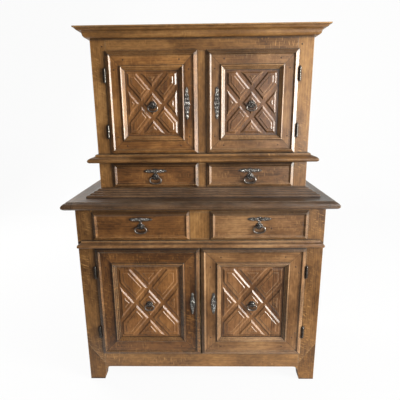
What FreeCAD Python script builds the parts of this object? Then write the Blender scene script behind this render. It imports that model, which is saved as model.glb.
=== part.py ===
import FreeCAD, Part
import math
import os
import re
import Sketcher

# A two-body buffet. The wide lower body carries a table slab, and a narrower upper body stands
# on it, set back and a little right of the middle. Front is -Y, up is +Z, lengths are millimetres.
SIZES = {
    # Both bodies
    "lower_width": 1250.0,
    "lower_depth": 600.0,
    "upper_width": 1064.0,
    "upper_depth": 490.0,
    "upper_shift": 15.0,
    # Heights of the front from the floor up
    "apron_bottom": 80.0,
    "apron_height": 90.0,
    "lower_door_height": 612.0,
    "lower_middle_rail": 56.0,
    "lower_drawer_height": 139.0,
    "lower_top_rail": 21.0,
    "table_thickness": 40.0,
    "upper_bottom_rail": 51.0,
    "upper_drawer_height": 116.0,
    "upper_middle_rail": 56.0,
    "upper_door_height": 482.0,
    "upper_top_rail": 89.0,
    "top_board_thickness": 18.0,
    # Posts, feet and apron
    "lower_post_width": 89.0,
    "lower_post_depth": 60.0,
    "lower_back_post_width": 60.0,
    "lower_back_post_depth": 46.0,
    "upper_post_width": 73.0,
    "upper_post_depth": 50.0,
    "upper_back_post_width": 52.0,
    "upper_back_post_depth": 40.0,
    "scarf_outer_height": 228.0,
    "scarf_inner_height": 103.0,
    "foot_taper": 9.0,
    "apron_thickness": 28.0,
    "bracket_drop": 28.0,
    "lower_divider_width": 116.0,
    "upper_divider_width": 54.0,
    # Sides, back and boards inside
    "side_rail_thickness": 28.0,
    "lower_side_rail": 70.0,
    "lower_side_top_rail": 98.0,
    "upper_side_rail": 72.0,
    "upper_side_top_rail": 72.0,
    "side_panel_thickness": 10.0,
    "side_panel_tongue": 8.0,
    "back_board_thickness": 14.0,
    "floor_thickness": 18.0,
    "floor_drop": 3.0,
    "shelf_thickness": 18.0,
    "shelf_setback": 40.0,
    "lower_shelf_rise": 300.0,
    "upper_shelf_rise": 229.0,
    "bearer_width": 22.0,
    "bearer_height": 22.0,
    "runner_height": 24.0,
    "runner_ledge": 32.0,
    "guide_height": 30.0,
    # Mouldings
    "table_overhang": 52.0,
    "waist_room": 5.5,
    "waist_top_room": 2.0,
    "lower_waist_reach": 25.0,
    "upper_waist_reach": 47.0,
    "base_moulding_height": 38.0,
    "base_moulding_reach": 62.0,
    "base_moulding_fillet": 5.0,
    "cornice_height": 47.0,
    "cornice_reach": 60.0,
    # Doors
    "lower_door_gap": 6.0,
    "lip_overlap": 5.0,
    "lip_gap": 0.5,
    "rebate_clearance": 2.0,
    "door_edge": 6.0,
    "door_border_rise": 12.0,
    "door_border_width": 22.0,
    "door_face": 7.0,
    "door_back": 16.0,
    "lower_door_frame": 80.0,
    "upper_door_frame": 66.0,
    "bolection_width": 24.0,
    "bolection_rise": 14.0,
    "bolection_edge": 3.0,
    "panel_ground": 1.0,
    "panel_board": 8.0,
    "panel_tongue": 9.0,
    "panel_margin": 11.0,
    "groove_clearance": 0.2,
    "cross_strip": 16.0,
    "bevel_width": 8.0,
    "bevel_rise": 5.0,
    "field_bevel_width": 3.0,
    "field_bevel_rise": 2.0,
    # Drawers
    "drawer_edge": 6.0,
    "drawer_border_rise": 12.0,
    "drawer_border_width": 21.0,
    "drawer_bevel_width": 13.0,
    "drawer_field": 7.0,
    "drawer_back": 15.0,
    "drawer_side": 12.0,
    "drawer_bottom": 8.0,
    "drawer_bottom_lift": 8.0,
    "drawer_top_room": 10.0,
    "drawer_gap": 0.3,
    "lower_drawer_room": 86.0,
    "upper_drawer_room": 76.0,
    # Hinges
    "hinge_barrel_radius": 5.5,
    "hinge_edge_gap": 1.0,
    "hinge_stand": 6.2,
    "hinge_knuckle": 30.0,
    "hinge_knuckle_gap": 0.3,
    "hinge_pin_radius": 3.0,
    "hinge_pin_fit": 0.05,
    "hinge_pin_length": 24.0,
    "hinge_bore_end": 2.0,
    "hinge_finial_length": 5.0,
    "hinge_leaf_thickness": 2.4,
    "hinge_leaf_depth": 22.0,
    "hinge_leaf_root": 3.4,
    "hinge_leaf_shoulder": 3.0,
    "hinge_leaf_level": 3.2,
    "lower_hinge_inset": 130.0,
    "upper_hinge_inset": 107.0,
    # Door ironwork
    "lower_key_plate_width": 29.0,
    "upper_key_plate_width": 24.0,
    "lower_key_plate_height": 124.0,
    "upper_key_plate_height": 156.0,
    "key_plate_thickness": 2.0,
    "keyhole_width": 4.0,
    "keyhole_height": 12.0,
    "lower_left_key_inset": 40.0,
    "lower_right_key_inset": 65.0,
    "upper_left_key_inset": 51.5,
    "upper_right_key_inset": 51.5,
    "lock_case_width": 52.0,
    "lock_case_height": 70.0,
    "lock_case_depth": 14.0,
    "door_pull_drop": 6.0,
    "rosette_radius": 18.0,
    "rosette_thickness": 3.5,
    "eye_radius": 6.0,
    "eye_thickness": 5.0,
    "eye_hole_radius": 3.5,
    "eye_reach": 9.0,
    "ring_side_radius": 13.0,
    "ring_side_spread": 11.0,
    "ring_crown_depth": 20.0,
    "ring_wire_radius": 3.0,
    # Drawer ironwork
    "pull_plate_width": 120.0,
    "pull_plate_height": 25.0,
    "lower_pull_lift": 34.0,
    "upper_pull_lift": 21.0,
    "lower_pull_drop": 36.0,
    "upper_pull_drop": 30.0,
    "drawer_lock_height": 40.0,
    "staple_radius": 17.0,
    "bail_side_radius": 14.0,
    "bail_side_spread": 15.0,
    "bail_crown_depth": 30.0,
    "bail_wire_radius": 3.0,
    # Allowance by which every cut passes the wood
    "overrun": 5.0,
}

# Planes and levels that the pieces share, worked out from the sizes
LEVELS = {
    "lower_axis": "0",
    "upper_axis": "upper_shift",
    "lower_front": "(table_overhang - lower_depth)/2",
    "back_plane": "(table_overhang + lower_depth)/2",
    "upper_front": "back_plane - upper_depth",
    "boards_front": "back_plane - back_board_thickness",
    "lower_bottom": "0",
    "lower_door_low": "apron_bottom + apron_height",
    "lower_door_high": "lower_door_low + lower_door_height",
    "lower_drawer_low": "lower_door_high + lower_middle_rail",
    "lower_drawer_high": "lower_drawer_low + lower_drawer_height",
    "lower_top": "lower_drawer_high + lower_top_rail",
    "upper_bottom": "lower_top + table_thickness",
    "upper_drawer_low": "upper_bottom + upper_bottom_rail",
    "upper_drawer_high": "upper_drawer_low + upper_drawer_height",
    "upper_door_low": "upper_drawer_high + upper_middle_rail",
    "upper_door_high": "upper_door_low + upper_door_height",
    "upper_top": "upper_door_high + upper_top_rail",
    "total_height": "upper_top + top_board_thickness",
    "lower_side_low": "apron_bottom",
    "upper_side_low": "upper_bottom",
    "bevel_level": "panel_ground - bevel_rise",
    "field_level": "bevel_level - field_bevel_rise",
    "cut_level": "field_level - overrun",
}

# Radius of an arc as a share of its chord
QUARTER_SHARE = 0.7072
ROUND_SHARE = 0.56
SHALLOW_SHARE = 1.1
# Place of the cross's arms on the half diagonal, and of a field's shelf between arm and middle
CROSS_ARM_SHARE = 0.43
FIELD_SHELF_SHARE = 0.28
# Table edge: flat top and underside, drop of the top step, and ends of the upright nose
TABLE_ARRIS_SHARE = 0.58
TABLE_STEP_SHARE = 0.08
TABLE_NOSE_SHARES = (0.3, 0.52)
# Reach and height of each turn of a waist, from the underside up: a nose, an ovolo, a fillet and a cove
WAIST_SHARES = ((0.6, 0.0), (1.0, 0.18), (1.0, 0.32), (0.62, 0.64), (0.54, 0.64), (0.27, 0.93), (0.27, 1.0))
# Reach and depth below the top of each turn of the cornice: ovolo, fillet, cove, fillet, then a cyma
CORNICE_SHARES = ((0.14, 1.0), (0.44, 0.68), (0.46, 0.58), (0.62, 0.38), (0.68, 0.36), (0.82, 0.24),
                  (0.97, 0.12), (1.0, 0.12))
BORDER_CREST_SHARE = 0.45
# Inner moulding of a door frame: places of its crest and quirk, and levels of the quirk's two edges
BOLECTION_SHARES = (0.3, 0.66, 0.5, 0.36)
FINIAL_FLAT_SHARE = 0.4
# Rosette: reach of the notches between its petals and their roundness, thickness of the petals
PETAL_SHARES = (0.87, 0.58, 0.5)
BOSS_SHARE = 0.45
# Right half of the door key plate from its foot to its tip: a lozenge with five lobes
KEY_PLATE_SHARES = ((0.0, -1.0), (0.34, -0.64, 1, 0.8), (0.66, -0.34, 1, 0.8), (0.66, 0.34, 1, 1.2),
                    (0.34, 0.64, 1, 0.8), (0.0, 1.0, 1, 0.8))
# Lozenges pierced in that plate: place across and along it, half width and half length
PIERCING_SHARES = ((0.0, 0.33, 0.2, 0.11), (0.0, 0.62, 0.12, 0.1), (0.0, -0.33, 0.2, 0.11),
                   (0.0, -0.62, 0.12, 0.1), (0.56, 0.0, 0.15, 0.15), (-0.56, 0.0, 0.15, 0.15))
# Drawer plate from its left tip along the lower edge to the right tip, then back along the top
PULL_PLATE_SHARES = ((-0.5, -0.5, 1, 1.1), (-0.3, -0.35, -1, 0.9), (0.3, -0.35, 1, 0.72),
                     (0.5, -0.5, -1, 0.9), (1.0, 0.0, 1, 1.1), (0.5, 0.5, 1, 1.1), (0.3, 0.35, -1, 0.9),
                     (-0.3, 0.35, 1, 0.72), (-0.5, 0.5, -1, 0.9), (-1.0, 0.0, 1, 1.1))

BACK_BOARDS = 4
FLOOR_BOARDS = 3
BASE_REEDS = 4
PETALS = 8
WIRE_FLATS = 6
FULL_TURN = 360.0
BODIES = ("lower", "upper")
SIDES = {"left": -1, "right": 1}

doc = FreeCAD.newDocument("buffet")
sheet = doc.addObject("Spreadsheet::Sheet", "sizes")
for row, (alias, number) in enumerate(SIZES.items(), start=1):
    sheet.set(f"A{row}", alias.replace("_", " "))
    sheet.set(f"B{row}", str(number))
    sheet.setAlias(f"B{row}", alias)
doc.recompute()
nodes = []


def bound(text):
    """The formula with every size name pointing at its cell and every level worked out."""
    return re.sub(r"[a-z][a-z_]+", lambda word: cell_name(word.group(0)), text)


def cell_name(word):
    if word in LEVELS:
        return f"({bound(LEVELS[word])})"
    return f"sizes.{word}" if word in SIZES else word


def value(text):
    return float(sheet.evalExpression(bound(text)))


def span(centre, size):
    return (f"{centre} - {size}/2", f"{centre} + {size}/2")


def grown(limits, by):
    return (f"{limits[0]} - {by}", f"{limits[1]} + {by}")


def shrunk(limits, by):
    return (f"{limits[0]} + {by}", f"{limits[1]} - {by}")


def beside(side, axis, out):
    """Place in X at a distance from the middle of a body."""
    return f"{axis} + {out}" if side > 0 else f"{axis} - {out}"


def handed(side, axis, near, far):
    """Limits in X of a piece that lies between two distances from the middle."""
    limits = (beside(side, axis, f"({near})"), beside(side, axis, f"({far})"))
    return limits if side > 0 else limits[::-1]


def unit_vector(axis):
    return FreeCAD.Vector(axis == "x", axis == "y", axis == "z")


def keep(piece, label):
    """Makes the piece a node of the buffet."""
    piece.Label = label
    nodes.append(piece)
    return piece


def board(name, x, y, z):
    piece = doc.addObject("Part::Box", name)
    for length, axis, limits in (("Length", "x", x), ("Width", "y", y), ("Height", "z", z)):
        piece.setExpression(length, bound(f"({limits[1]}) - ({limits[0]})"))
        piece.setExpression(f"Placement.Base.{axis}", bound(limits[0]))
    return piece


def group(name, pieces):
    together = doc.addObject("Part::Compound", name)
    together.Links = pieces
    return together


def mirrored(name, source, axis, plane):
    copy = doc.addObject("Part::Mirroring", name)
    copy.Source = source
    copy.Normal = unit_vector(axis)
    copy.setExpression(f"Base.{axis}", bound(plane))
    return copy


def with_mirror(piece, axis):
    return [piece, mirrored(f"{piece.Name}_mirrored", piece, "x", axis)]


def cut(name, base, tools):
    piece = doc.addObject("Part::Cut", name)
    piece.Base = base
    piece.Tool = tools[0] if len(tools) == 1 else group(name + "_tools", tools)
    return piece


def fuse(name, pieces):
    piece = doc.addObject("Part::MultiFuse", name)
    piece.Shapes = pieces
    piece.Refine = True
    return piece


def new_body(name, x="0", y="0", z="0"):
    body = doc.addObject("PartDesign::Body", name)
    for axis, place in (("x", x), ("y", y), ("z", z)):
        body.setExpression(f"Placement.Base.{axis}", bound(place))
    return body


def new_sketch(body, plane, lift=None):
    sketch = body.newObject("Sketcher::SketchObject", body.Name + "_sketch")
    origin = next(part for part in body.Origin.OriginFeatures if part.Role == plane)
    sketch.AttachmentSupport = (origin, [""])
    sketch.MapMode = "FlatFace"
    if lift is not None:
        sketch.setExpression("AttachmentOffset.Base.z", bound(lift))
    return sketch


def arc_between(start, end, radius, turn):
    """Arc from start to end, left-hand for turn 1 and right-hand for turn -1."""
    chord = end - start
    rise = math.sqrt(max(radius**2 - (chord.Length / 2)**2, 0))
    across = FreeCAD.Vector(-chord.y, chord.x, 0).normalize()
    centre = (start + end) / 2 + across * rise * turn
    first, last = (start, end) if turn > 0 else (end, start)
    angles = [math.atan2(point.y - centre.y, point.x - centre.x) for point in (first, last)]
    return Part.ArcOfCircle(Part.Circle(centre, unit_vector("z"), radius), *angles)


def drive(sketch, constraint, formula):
    number = sketch.addConstraint(constraint)
    sketch.setExpression(f"Constraints[{number}]", bound(formula))


def hold_point(sketch, geometry, point, x, y):
    drive(sketch, Sketcher.Constraint("DistanceX", -1, 1, geometry, point, value(x)), x)
    drive(sketch, Sketcher.Constraint("DistanceY", -1, 1, geometry, point, value(y)), y)


def arc_radius(before, step):
    """Formula of the radius of the arc that reaches a step: its own, or a share of its chord."""
    if isinstance(step[3], str):
        return step[3]
    return f"{step[3]}*sqrt(({step[0]} - ({before[0]}))^2 + ({step[1]} - ({before[1]}))^2)"


def draw(sketch, outline):
    """Closed outline. A step is (x, y), or (x, y, turn, radius) where it is reached by an arc
    whose radius is a formula or a share of its chord. Every corner is held by its formulas."""
    first = sketch.GeometryCount
    corners = [FreeCAD.Vector(value(step[0]), value(step[1]), 0) for step in outline]
    ends = []
    for number, step in enumerate(outline):
        start = corners[number - 1]
        end = corners[number]
        if len(step) == 2:
            sketch.addGeometry(Part.LineSegment(start, end))
            ends.append((1, 2))
            continue
        radius = value(arc_radius(outline[number - 1], step))
        sketch.addGeometry(arc_between(start, end, radius, step[2]))
        ends.append((1, 2) if step[2] > 0 else (2, 1))
    for number, step in enumerate(outline):
        here = first + number
        after = (number + 1) % len(outline)
        joint = Sketcher.Constraint("Coincident", here, ends[number][1], first + after, ends[after][0])
        sketch.addConstraint(joint)
        hold_point(sketch, here, ends[number][1], step[0], step[1])
        if len(step) == 4:
            radius = arc_radius(outline[number - 1], step)
            drive(sketch, Sketcher.Constraint("Radius", here, value(radius)), radius)


def draw_box(sketch, wide, tall):
    draw(sketch, [(f"-{wide}", f"-{tall}"), (wide, f"-{tall}"), (wide, tall), (f"-{wide}", tall)])


def draw_circle(sketch, x, y, radius):
    centre = FreeCAD.Vector(value(x), value(y), 0)
    number = sketch.addGeometry(Part.Circle(centre, unit_vector("z"), value(radius)))
    hold_point(sketch, number, 3, x, y)
    drive(sketch, Sketcher.Constraint("Radius", number, value(radius)), radius)


def draw_round(sketch, radius, count, share=None):
    """Corners evenly round the middle, joined by flats, or by lobes of a roundness."""
    corners = []
    for number in range(count):
        turn = 2 * math.pi * number / count
        corner = (f"{radius}*({math.cos(turn)})", f"{radius}*({math.sin(turn)})")
        corners.append(corner if share is None else corner + (1, share))
    draw(sketch, corners)


def draw_shares(sketch, steps, wide, tall):
    """Outline whose points are shares of a half width and a half height."""
    draw(sketch, [(f"{wide}*({step[0]})", f"{tall}*({step[1]})") + tuple(step[2:]) for step in steps])


def pad(body, sketch, length, symmetric=False, back=False):
    feature = body.newObject("PartDesign::Pad", body.Name + "_pad")
    feature.Profile = sketch
    feature.setExpression("Length", bound(length))
    feature.Reversed = back
    if symmetric:
        feature.SideType = "Symmetric"
    doc.recompute()


def pocket(body, sketch, both_ways=True):
    """Cut right through, both ways from the sketch or only out of the front."""
    before = body.Shape.Volume
    feature = body.newObject("PartDesign::Pocket", body.Name + "_pocket")
    feature.Profile = sketch
    feature.Type = "ThroughAll"
    if both_ways:
        feature.SideType = "Symmetric"
    else:
        feature.Reversed = True
    doc.recompute()
    if body.Shape.Volume >= before:
        raise RuntimeError(body.Name + ": the pocket cut nothing")


def revolve(body, sketch):
    feature = body.newObject("PartDesign::Revolution", body.Name + "_turned")
    feature.Profile = sketch
    feature.ReferenceAxis = (sketch, ["V_Axis"])
    feature.Angle = FULL_TURN
    doc.recompute()


def soften(body, kind, size, amount, edges):
    """Fillet or chamfer on the given edges."""
    base = body.Tip
    shape = body.Shape
    names = []
    for number, edge in enumerate(shape.Edges, start=1):
        if any(edge.isSame(other) for other in edges):
            names.append(f"Edge{number}")
    feature = body.newObject(f"PartDesign::{kind}", f"{body.Name}_{kind.lower()}")
    feature.Base = (base, names)
    feature.setExpression(size, bound(amount))
    doc.recompute()


def front_face(shape):
    return min(shape.Faces, key=lambda face: face.CenterOfMass.y)


def moulding(name, axis, half, front, outline, reach):
    """Front and side lengths of a moulding that goes round three sides, mitred at the corners.
    The outline is given as steps of (reach from the face, height)."""
    over = f"({reach} + overrun)"
    bar = new_body(name + "_front_length", x=axis)
    sketch = new_sketch(bar, "YZ_Plane")
    steps = []
    for step in outline:
        turn = (-step[2], step[3]) if len(step) == 4 else ()
        steps.append((f"{front} - ({step[0]})", step[1]) + turn)
    draw(sketch, steps)
    pad(bar, sketch, f"2*({half} + {reach})", symmetric=True)
    mitres = new_sketch(bar, "XY_Plane")
    for sign in ("", "-"):
        corner = f"{sign}({half})"
        tip = f"{sign}({half} + {over})"
        draw(mitres, [(corner, front), (tip, front), (tip, f"{front} - {over}")])
    pocket(bar, mitres)
    side = new_body(name + "_side_length", x=axis)
    sketch = new_sketch(side, "XZ_Plane", lift="-back_plane")
    draw(sketch, [(f"{half} + ({step[0]})", step[1]) + tuple(step[2:]) for step in outline])
    pad(side, sketch, f"back_plane - ({front}) + {reach}")
    mitre = new_sketch(side, "XY_Plane")
    draw(mitre, [(half, front), (half, f"{front} - {over}"), (f"{half} + {over}", f"{front} - {over}")])
    pocket(side, mitre)
    return [bar] + with_mirror(side, axis)


def inside_y(name):
    """Limits in Y between the front posts and the back posts."""
    return (f"({name}_front + {name}_post_depth)", f"(boards_front - {name}_back_post_depth)")


def side_panel_place(name):
    """Limits of the right side's panel, tongues included."""
    x = span(f"{name}_axis + {name}_width/2 - side_rail_thickness/2", "side_panel_thickness")
    y = grown(inside_y(name), "side_panel_tongue")
    sight = (f"{name}_side_low + {name}_side_rail", f"{name}_top - {name}_side_top_rail")
    return x, y, grown(sight, "side_panel_tongue")


def side_groove(name, piece):
    limits = [grown(axis, "groove_clearance") for axis in side_panel_place(name)]
    return board(f"{piece}_groove", *limits)


def hinge_heights(name):
    return [f"({name}_door_low + {name}_hinge_inset)", f"({name}_door_high - {name}_hinge_inset)"]


def door_far(name):
    """Distance from the middle of the edge that a door is hung on."""
    return f"({name}_width/2 - {name}_post_width + lip_overlap)"


def hinge_axis(name, side):
    out = f"({door_far(name)} + hinge_edge_gap + hinge_barrel_radius)"
    return beside(side, f"{name}_axis", out), f"({name}_front - hinge_stand)"


def post_leaf_place(name, side, height):
    """Limits of the leaf that a carcass knuckle sends back into the post."""
    x, y = hinge_axis(name, side)
    top = f"{height} - hinge_knuckle_gap/2"
    return (span(x, "hinge_leaf_thickness"),
            (f"{y} + hinge_leaf_root", f"{name}_front + hinge_leaf_depth"),
            shrunk((f"{top} - hinge_knuckle", top), "hinge_leaf_shoulder"))


def door_leaf_place(name, side, height):
    """Limits of the leaf that a door knuckle sends into the edge of the stile."""
    out = door_far(name)
    root = f"{out} + hinge_edge_gap + hinge_barrel_radius - hinge_leaf_root"
    low = f"{height} + hinge_knuckle_gap/2"
    return (handed(side, f"{name}_axis", f"{out} - hinge_leaf_depth", root),
            span(f"{name}_front - hinge_leaf_level", "hinge_leaf_thickness"),
            shrunk((low, f"{low} + hinge_knuckle"), "hinge_leaf_shoulder"))


def mortises(piece, places):
    slots = []
    for number, place in enumerate(places):
        limits = [grown(axis, "groove_clearance") for axis in place]
        slots.append(board(f"{piece}_mortise_{number}", *limits))
    return slots


def posts(name):
    """Four posts. The lower front ones end in a diagonal scarf, where a foot is spliced on."""
    axis = f"{name}_axis"
    outer = f"{name}_width/2"
    inner = f"({outer} - {name}_post_width)"
    top = f"{name}_top"
    lower_outer, lower_inner = f"{name}_bottom", f"{name}_bottom"
    if name == "lower":
        lower_outer, lower_inner = "scarf_outer_height", "scarf_inner_height"
    blank = new_body(f"{name}_post", x=axis, y=f"{name}_front")
    sketch = new_sketch(blank, "XZ_Plane")
    draw(sketch, [(outer, lower_outer), (outer, top), (inner, top), (inner, lower_inner)])
    pad(blank, sketch, f"{name}_post_depth", back=True)
    leaves = [post_leaf_place(name, 1, height) for height in hinge_heights(name)]
    tools = mortises(f"{name}_post", leaves) + [side_groove(name, f"{name}_post")]
    front = cut(f"{name}_front_post", blank, tools)
    x = handed(1, axis, f"{outer} - {name}_back_post_width", outer)
    y = (inside_y(name)[1], "boards_front")
    rear = board(f"{name}_rear_blank", x, y, (f"{name}_bottom", top))
    rear = cut(f"{name}_rear_post", rear, [side_groove(name, f"{name}_rear_post")])
    keep(group(f"{name}_post_set", with_mirror(front, axis) + with_mirror(rear, axis)), f"{name}_posts")


def spliced_feet():
    outer = "lower_width/2"
    inner = f"({outer} - lower_post_width)"
    foot = new_body("foot", y="lower_front")
    sketch = new_sketch(foot, "XZ_Plane")
    draw(sketch, [(outer, "0"), (outer, "scarf_outer_height"), (inner, "scarf_inner_height"),
                  (inner, "apron_bottom - bracket_drop"), (f"{inner} + foot_taper", "0")])
    pad(foot, sketch, "lower_post_depth", back=True)
    grooved = cut("grooved_foot", foot, [side_groove("lower", "foot")])
    keep(group("feet", with_mirror(grooved, "0")), "lower_spliced_feet")


def front_rails(name):
    """Rails across the front between the posts and uprights between the rails, all as deep as
    the posts."""
    half = f"({name}_width/2 - {name}_post_width)"
    x = (f"{name}_axis - {half}", f"{name}_axis + {half}")
    y = (f"{name}_front", inside_y(name)[0])
    levels = [("lower_door_high", "lower_drawer_low"), ("lower_drawer_high", "lower_top")]
    uprights = [(f"{name}_drawer_low", f"{name}_drawer_high")]
    if name == "upper":
        levels = [("upper_bottom", "upper_drawer_low"), ("upper_drawer_high", "upper_door_low"),
                  ("upper_door_high", "upper_top")]
        uprights.append(("upper_door_low", "upper_door_high"))
    rails = [board(f"{name}_rail_{number}", x, y, z) for number, z in enumerate(levels)]
    keep(group(f"{name}_rails", rails), f"{name}_front_rails")
    x = span(f"{name}_axis", f"{name}_divider_width")
    pieces = [board(f"{name}_upright_{number}", x, y, z) for number, z in enumerate(uprights)]
    keep(group(f"{name}_uprights", pieces), f"{name}_dividers")


def apron():
    """Bottom rail under the doors, with a concave bracket into each post."""
    half = "(lower_width/2 - lower_post_width)"
    low = "apron_bottom - bracket_drop"
    body = new_body("apron", y="lower_front")
    sketch = new_sketch(body, "XZ_Plane")
    draw(sketch, [(half, low, -1, QUARTER_SHARE), (half, "lower_door_low"), (f"-{half}", "lower_door_low"),
                  (f"-{half}", low), (f"-{half} + bracket_drop", "apron_bottom", -1, QUARTER_SHARE),
                  (f"{half} - bracket_drop", "apron_bottom")])
    pad(body, sketch, "apron_thickness", back=True)
    keep(body, "lower_apron")


def side_frames(name):
    """Side rails between the posts and the panel set in their grooves."""
    axis = f"{name}_axis"
    x = handed(1, axis, f"{name}_width/2 - side_rail_thickness", f"{name}_width/2")
    y = inside_y(name)
    low = board(f"{name}_side_low_rail", x, y, (f"{name}_side_low", f"{name}_side_low + {name}_side_rail"))
    high = board(f"{name}_side_high_rail", x, y, (f"{name}_top - {name}_side_top_rail", f"{name}_top"))
    rails = []
    for rail in (low, high):
        rails += with_mirror(cut(rail.Name + "_grooved", rail, [side_groove(name, rail.Name)]), axis)
    keep(group(f"{name}_side_rail_set", rails), f"{name}_side_rails")
    panel = board(f"{name}_side_panel", *side_panel_place(name))
    keep(group(f"{name}_side_panel_pair", with_mirror(panel, axis)), f"{name}_side_panels")


def back_boards(name):
    """Boards nailed across the back posts, edge to edge."""
    x = span(f"{name}_axis", f"{name}_width")
    low = f"{name}_side_low"
    step = f"({name}_top - {low})/{BACK_BOARDS}"
    pieces = []
    for number in range(BACK_BOARDS):
        z = (f"{low} + {number}*{step}", f"{low} + {number + 1}*{step}")
        pieces.append(board(f"{name}_back_board_{number}", x, ("boards_front", "back_plane"), z))
    keep(group(f"{name}_back_set", pieces), f"{name}_back_boards")


def floor_and_shelf(name):
    """Cupboard floor in boards cut round the posts, and one shelf on strips."""
    axis = f"{name}_axis"
    start, end = inside_y(name)
    wide = span(axis, f"({name}_width - 2*side_rail_thickness)")
    top = f"({name}_door_low - floor_drop)"
    z = (f"{top} - floor_thickness", top)
    boards = []
    if name == "lower":
        x = span(axis, "(lower_width - 2*lower_post_width)")
        boards.append(board("lower_floor_front", x, ("lower_front + apron_thickness", start), z))
    step = f"({end} - {start})/{FLOOR_BOARDS}"
    for number in range(FLOOR_BOARDS):
        y = (f"{start} + {number}*{step}", f"{start} + {number + 1}*{step}")
        boards.append(board(f"{name}_floor_{number}", wide, y, z))
    x = span(axis, f"({name}_width - 2*{name}_back_post_width)")
    boards.append(board(f"{name}_floor_rear", x, (end, "boards_front"), z))
    keep(group(f"{name}_floor", boards), f"{name}_floor_boards")
    level = f"{name}_door_low + {name}_shelf_rise"
    shelf_z = (level, f"{level} + shelf_thickness")
    keep(board(f"{name}_shelf_board", wide, (f"{start} + shelf_setback", end), shelf_z), f"{name}_shelf")


def bearers(name):
    """Strips inside the carcass: drawer runners with guides, and what carries floor and shelf."""
    axis = f"{name}_axis"
    start, end = inside_y(name)
    wide = f"({name}_width/2 - side_rail_thickness)"
    opening = f"({name}_width/2 - {name}_post_width)"
    level = f"{name}_drawer_low"
    low = f"{level} - runner_height"
    guide = f"({level} + guide_height)"
    ledge = f"{opening} - runner_ledge"
    runner = new_body(f"{name}_side_runner", x=axis, y=start)
    sketch = new_sketch(runner, "XZ_Plane")
    draw(sketch, [(ledge, low), (wide, low), (wide, guide), (opening, guide), (opening, level),
                  (ledge, level)])
    pad(runner, sketch, f"{end} - {start}", back=True)
    centre = new_body(f"{name}_centre_runner", x=axis, y=start)
    sketch = new_sketch(centre, "XZ_Plane")
    half = f"{name}_divider_width/2"
    foot = f"({half} + runner_ledge)"
    draw(sketch, [(f"-{foot}", low), (foot, low), (foot, level), (half, level), (half, guide),
                  (f"-{half}", guide), (f"-{half}", level), (f"-{foot}", level)])
    pad(centre, sketch, f"boards_front - {start}", back=True)
    pieces = with_mirror(runner, axis) + [centre]
    x = handed(1, axis, f"{wide} - bearer_width", wide)
    tops = {"floor": f"{name}_door_low - floor_drop - floor_thickness",
            "shelf": f"{name}_door_low + {name}_shelf_rise"}
    for use, top in tops.items():
        strip = board(f"{name}_{use}_strip", x, (start, end), (f"{top} - bearer_height", top))
        pieces += with_mirror(strip, axis)
    keep(group(f"{name}_strips", pieces), f"{name}_bearers")


def table():
    """Slab with a thumb moulding on its front and sides, run on the solid."""
    low = "lower_top"
    high = "upper_bottom"
    reach = "table_overhang"
    arris = f"{reach}*{TABLE_ARRIS_SHARE}"
    nose_low, nose_high = [f"{low} + table_thickness*{share}" for share in TABLE_NOSE_SHARES]
    step = f"{high} - table_thickness*{TABLE_STEP_SHARE}"
    outline = [("0", low), (arris, low), (reach, nose_low, 1, SHALLOW_SHARE), (reach, nose_high),
               (arris, step, 1, SHALLOW_SHARE), (arris, high), ("0", high)]
    lengths = moulding("table_edge", "0", "lower_width/2", "lower_front", outline, reach)
    core = board("table_core", span("0", "lower_width"), ("lower_front", "back_plane"), (low, high))
    keep(fuse("table_slab", [core] + lengths), "table_top")


def waist_outline(low, high, reach):
    points = [(f"{reach}*{out}", f"{low} + ({high} - {low})*{up}") for out, up in WAIST_SHARES]
    return [("0", low), points[0], points[1] + (1, QUARTER_SHARE), points[2], points[3] + (1, SHALLOW_SHARE),
            points[4], points[5] + (-1, QUARTER_SHARE), points[6], ("0", high)]


def lower_waist():
    """Moulding on the front alone, whose ends are returned on the solid, flush with the sides."""
    low = "(lower_door_high + lip_overlap + waist_room)"
    high = "(lower_drawer_low - lip_overlap - waist_room)"
    reach = "lower_waist_reach"
    outline = waist_outline(low, high, reach)
    bar = new_body("lower_waist_bar", y="lower_front")
    sketch = new_sketch(bar, "YZ_Plane")
    steps = []
    for step in outline:
        turn = (-step[2], step[3]) if len(step) == 4 else ()
        steps.append((f"0 - ({step[0]})", step[1]) + turn)
    draw(sketch, steps)
    pad(bar, sketch, "lower_width", symmetric=True)
    half = f"(lower_width/2 - {reach})"
    right = [(f"{half} + {step[0]}", step[1]) + tuple(step[2:]) for step in outline[1:-1]]
    left = []
    for number in range(len(outline) - 2, 0, -1):
        arc = outline[number + 1][2:] if number < len(outline) - 2 else ()
        left.append((f"0 - {half} - {outline[number][0]}", outline[number][1]) + tuple(arc))
    ends = new_body("lower_waist_ends", y="lower_front")
    sketch = new_sketch(ends, "XZ_Plane")
    draw(sketch, right + left)
    pad(ends, sketch, f"2*{reach}", symmetric=True)
    returned = doc.addObject("Part::MultiCommon", "lower_waist")
    returned.Shapes = [bar, ends]
    keep(returned, "lower_waist_moulding")


def upper_base():
    """Reeds that step outwards down to the table."""
    reach = "base_moulding_reach"
    low = "upper_bottom"
    fall = f"(base_moulding_height - base_moulding_fillet)/{BASE_REEDS}"
    outline = [("0", low), (reach, low), (reach, f"{low} + base_moulding_fillet")]
    for reed in range(1, BASE_REEDS + 1):
        level = f"{low} + base_moulding_fillet + {reed}*{fall}"
        outline.append((f"{reach}*{BASE_REEDS - reed}/{BASE_REEDS}", level, 1, ROUND_SHARE))
    lengths = moulding("upper_base", "upper_axis", "upper_width/2", "upper_front", outline, reach)
    keep(group("upper_base_set", lengths), "upper_base_moulding")


def upper_waist():
    low = "(upper_drawer_high + lip_overlap + waist_room)"
    high = "(upper_door_low - lip_overlap - waist_top_room)"
    reach = "upper_waist_reach"
    outline = waist_outline(low, high, reach)
    lengths = moulding("upper_waist", "upper_axis", "upper_width/2", "upper_front", outline, reach)
    keep(group("upper_waist_set", lengths), "upper_waist_moulding")


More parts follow.
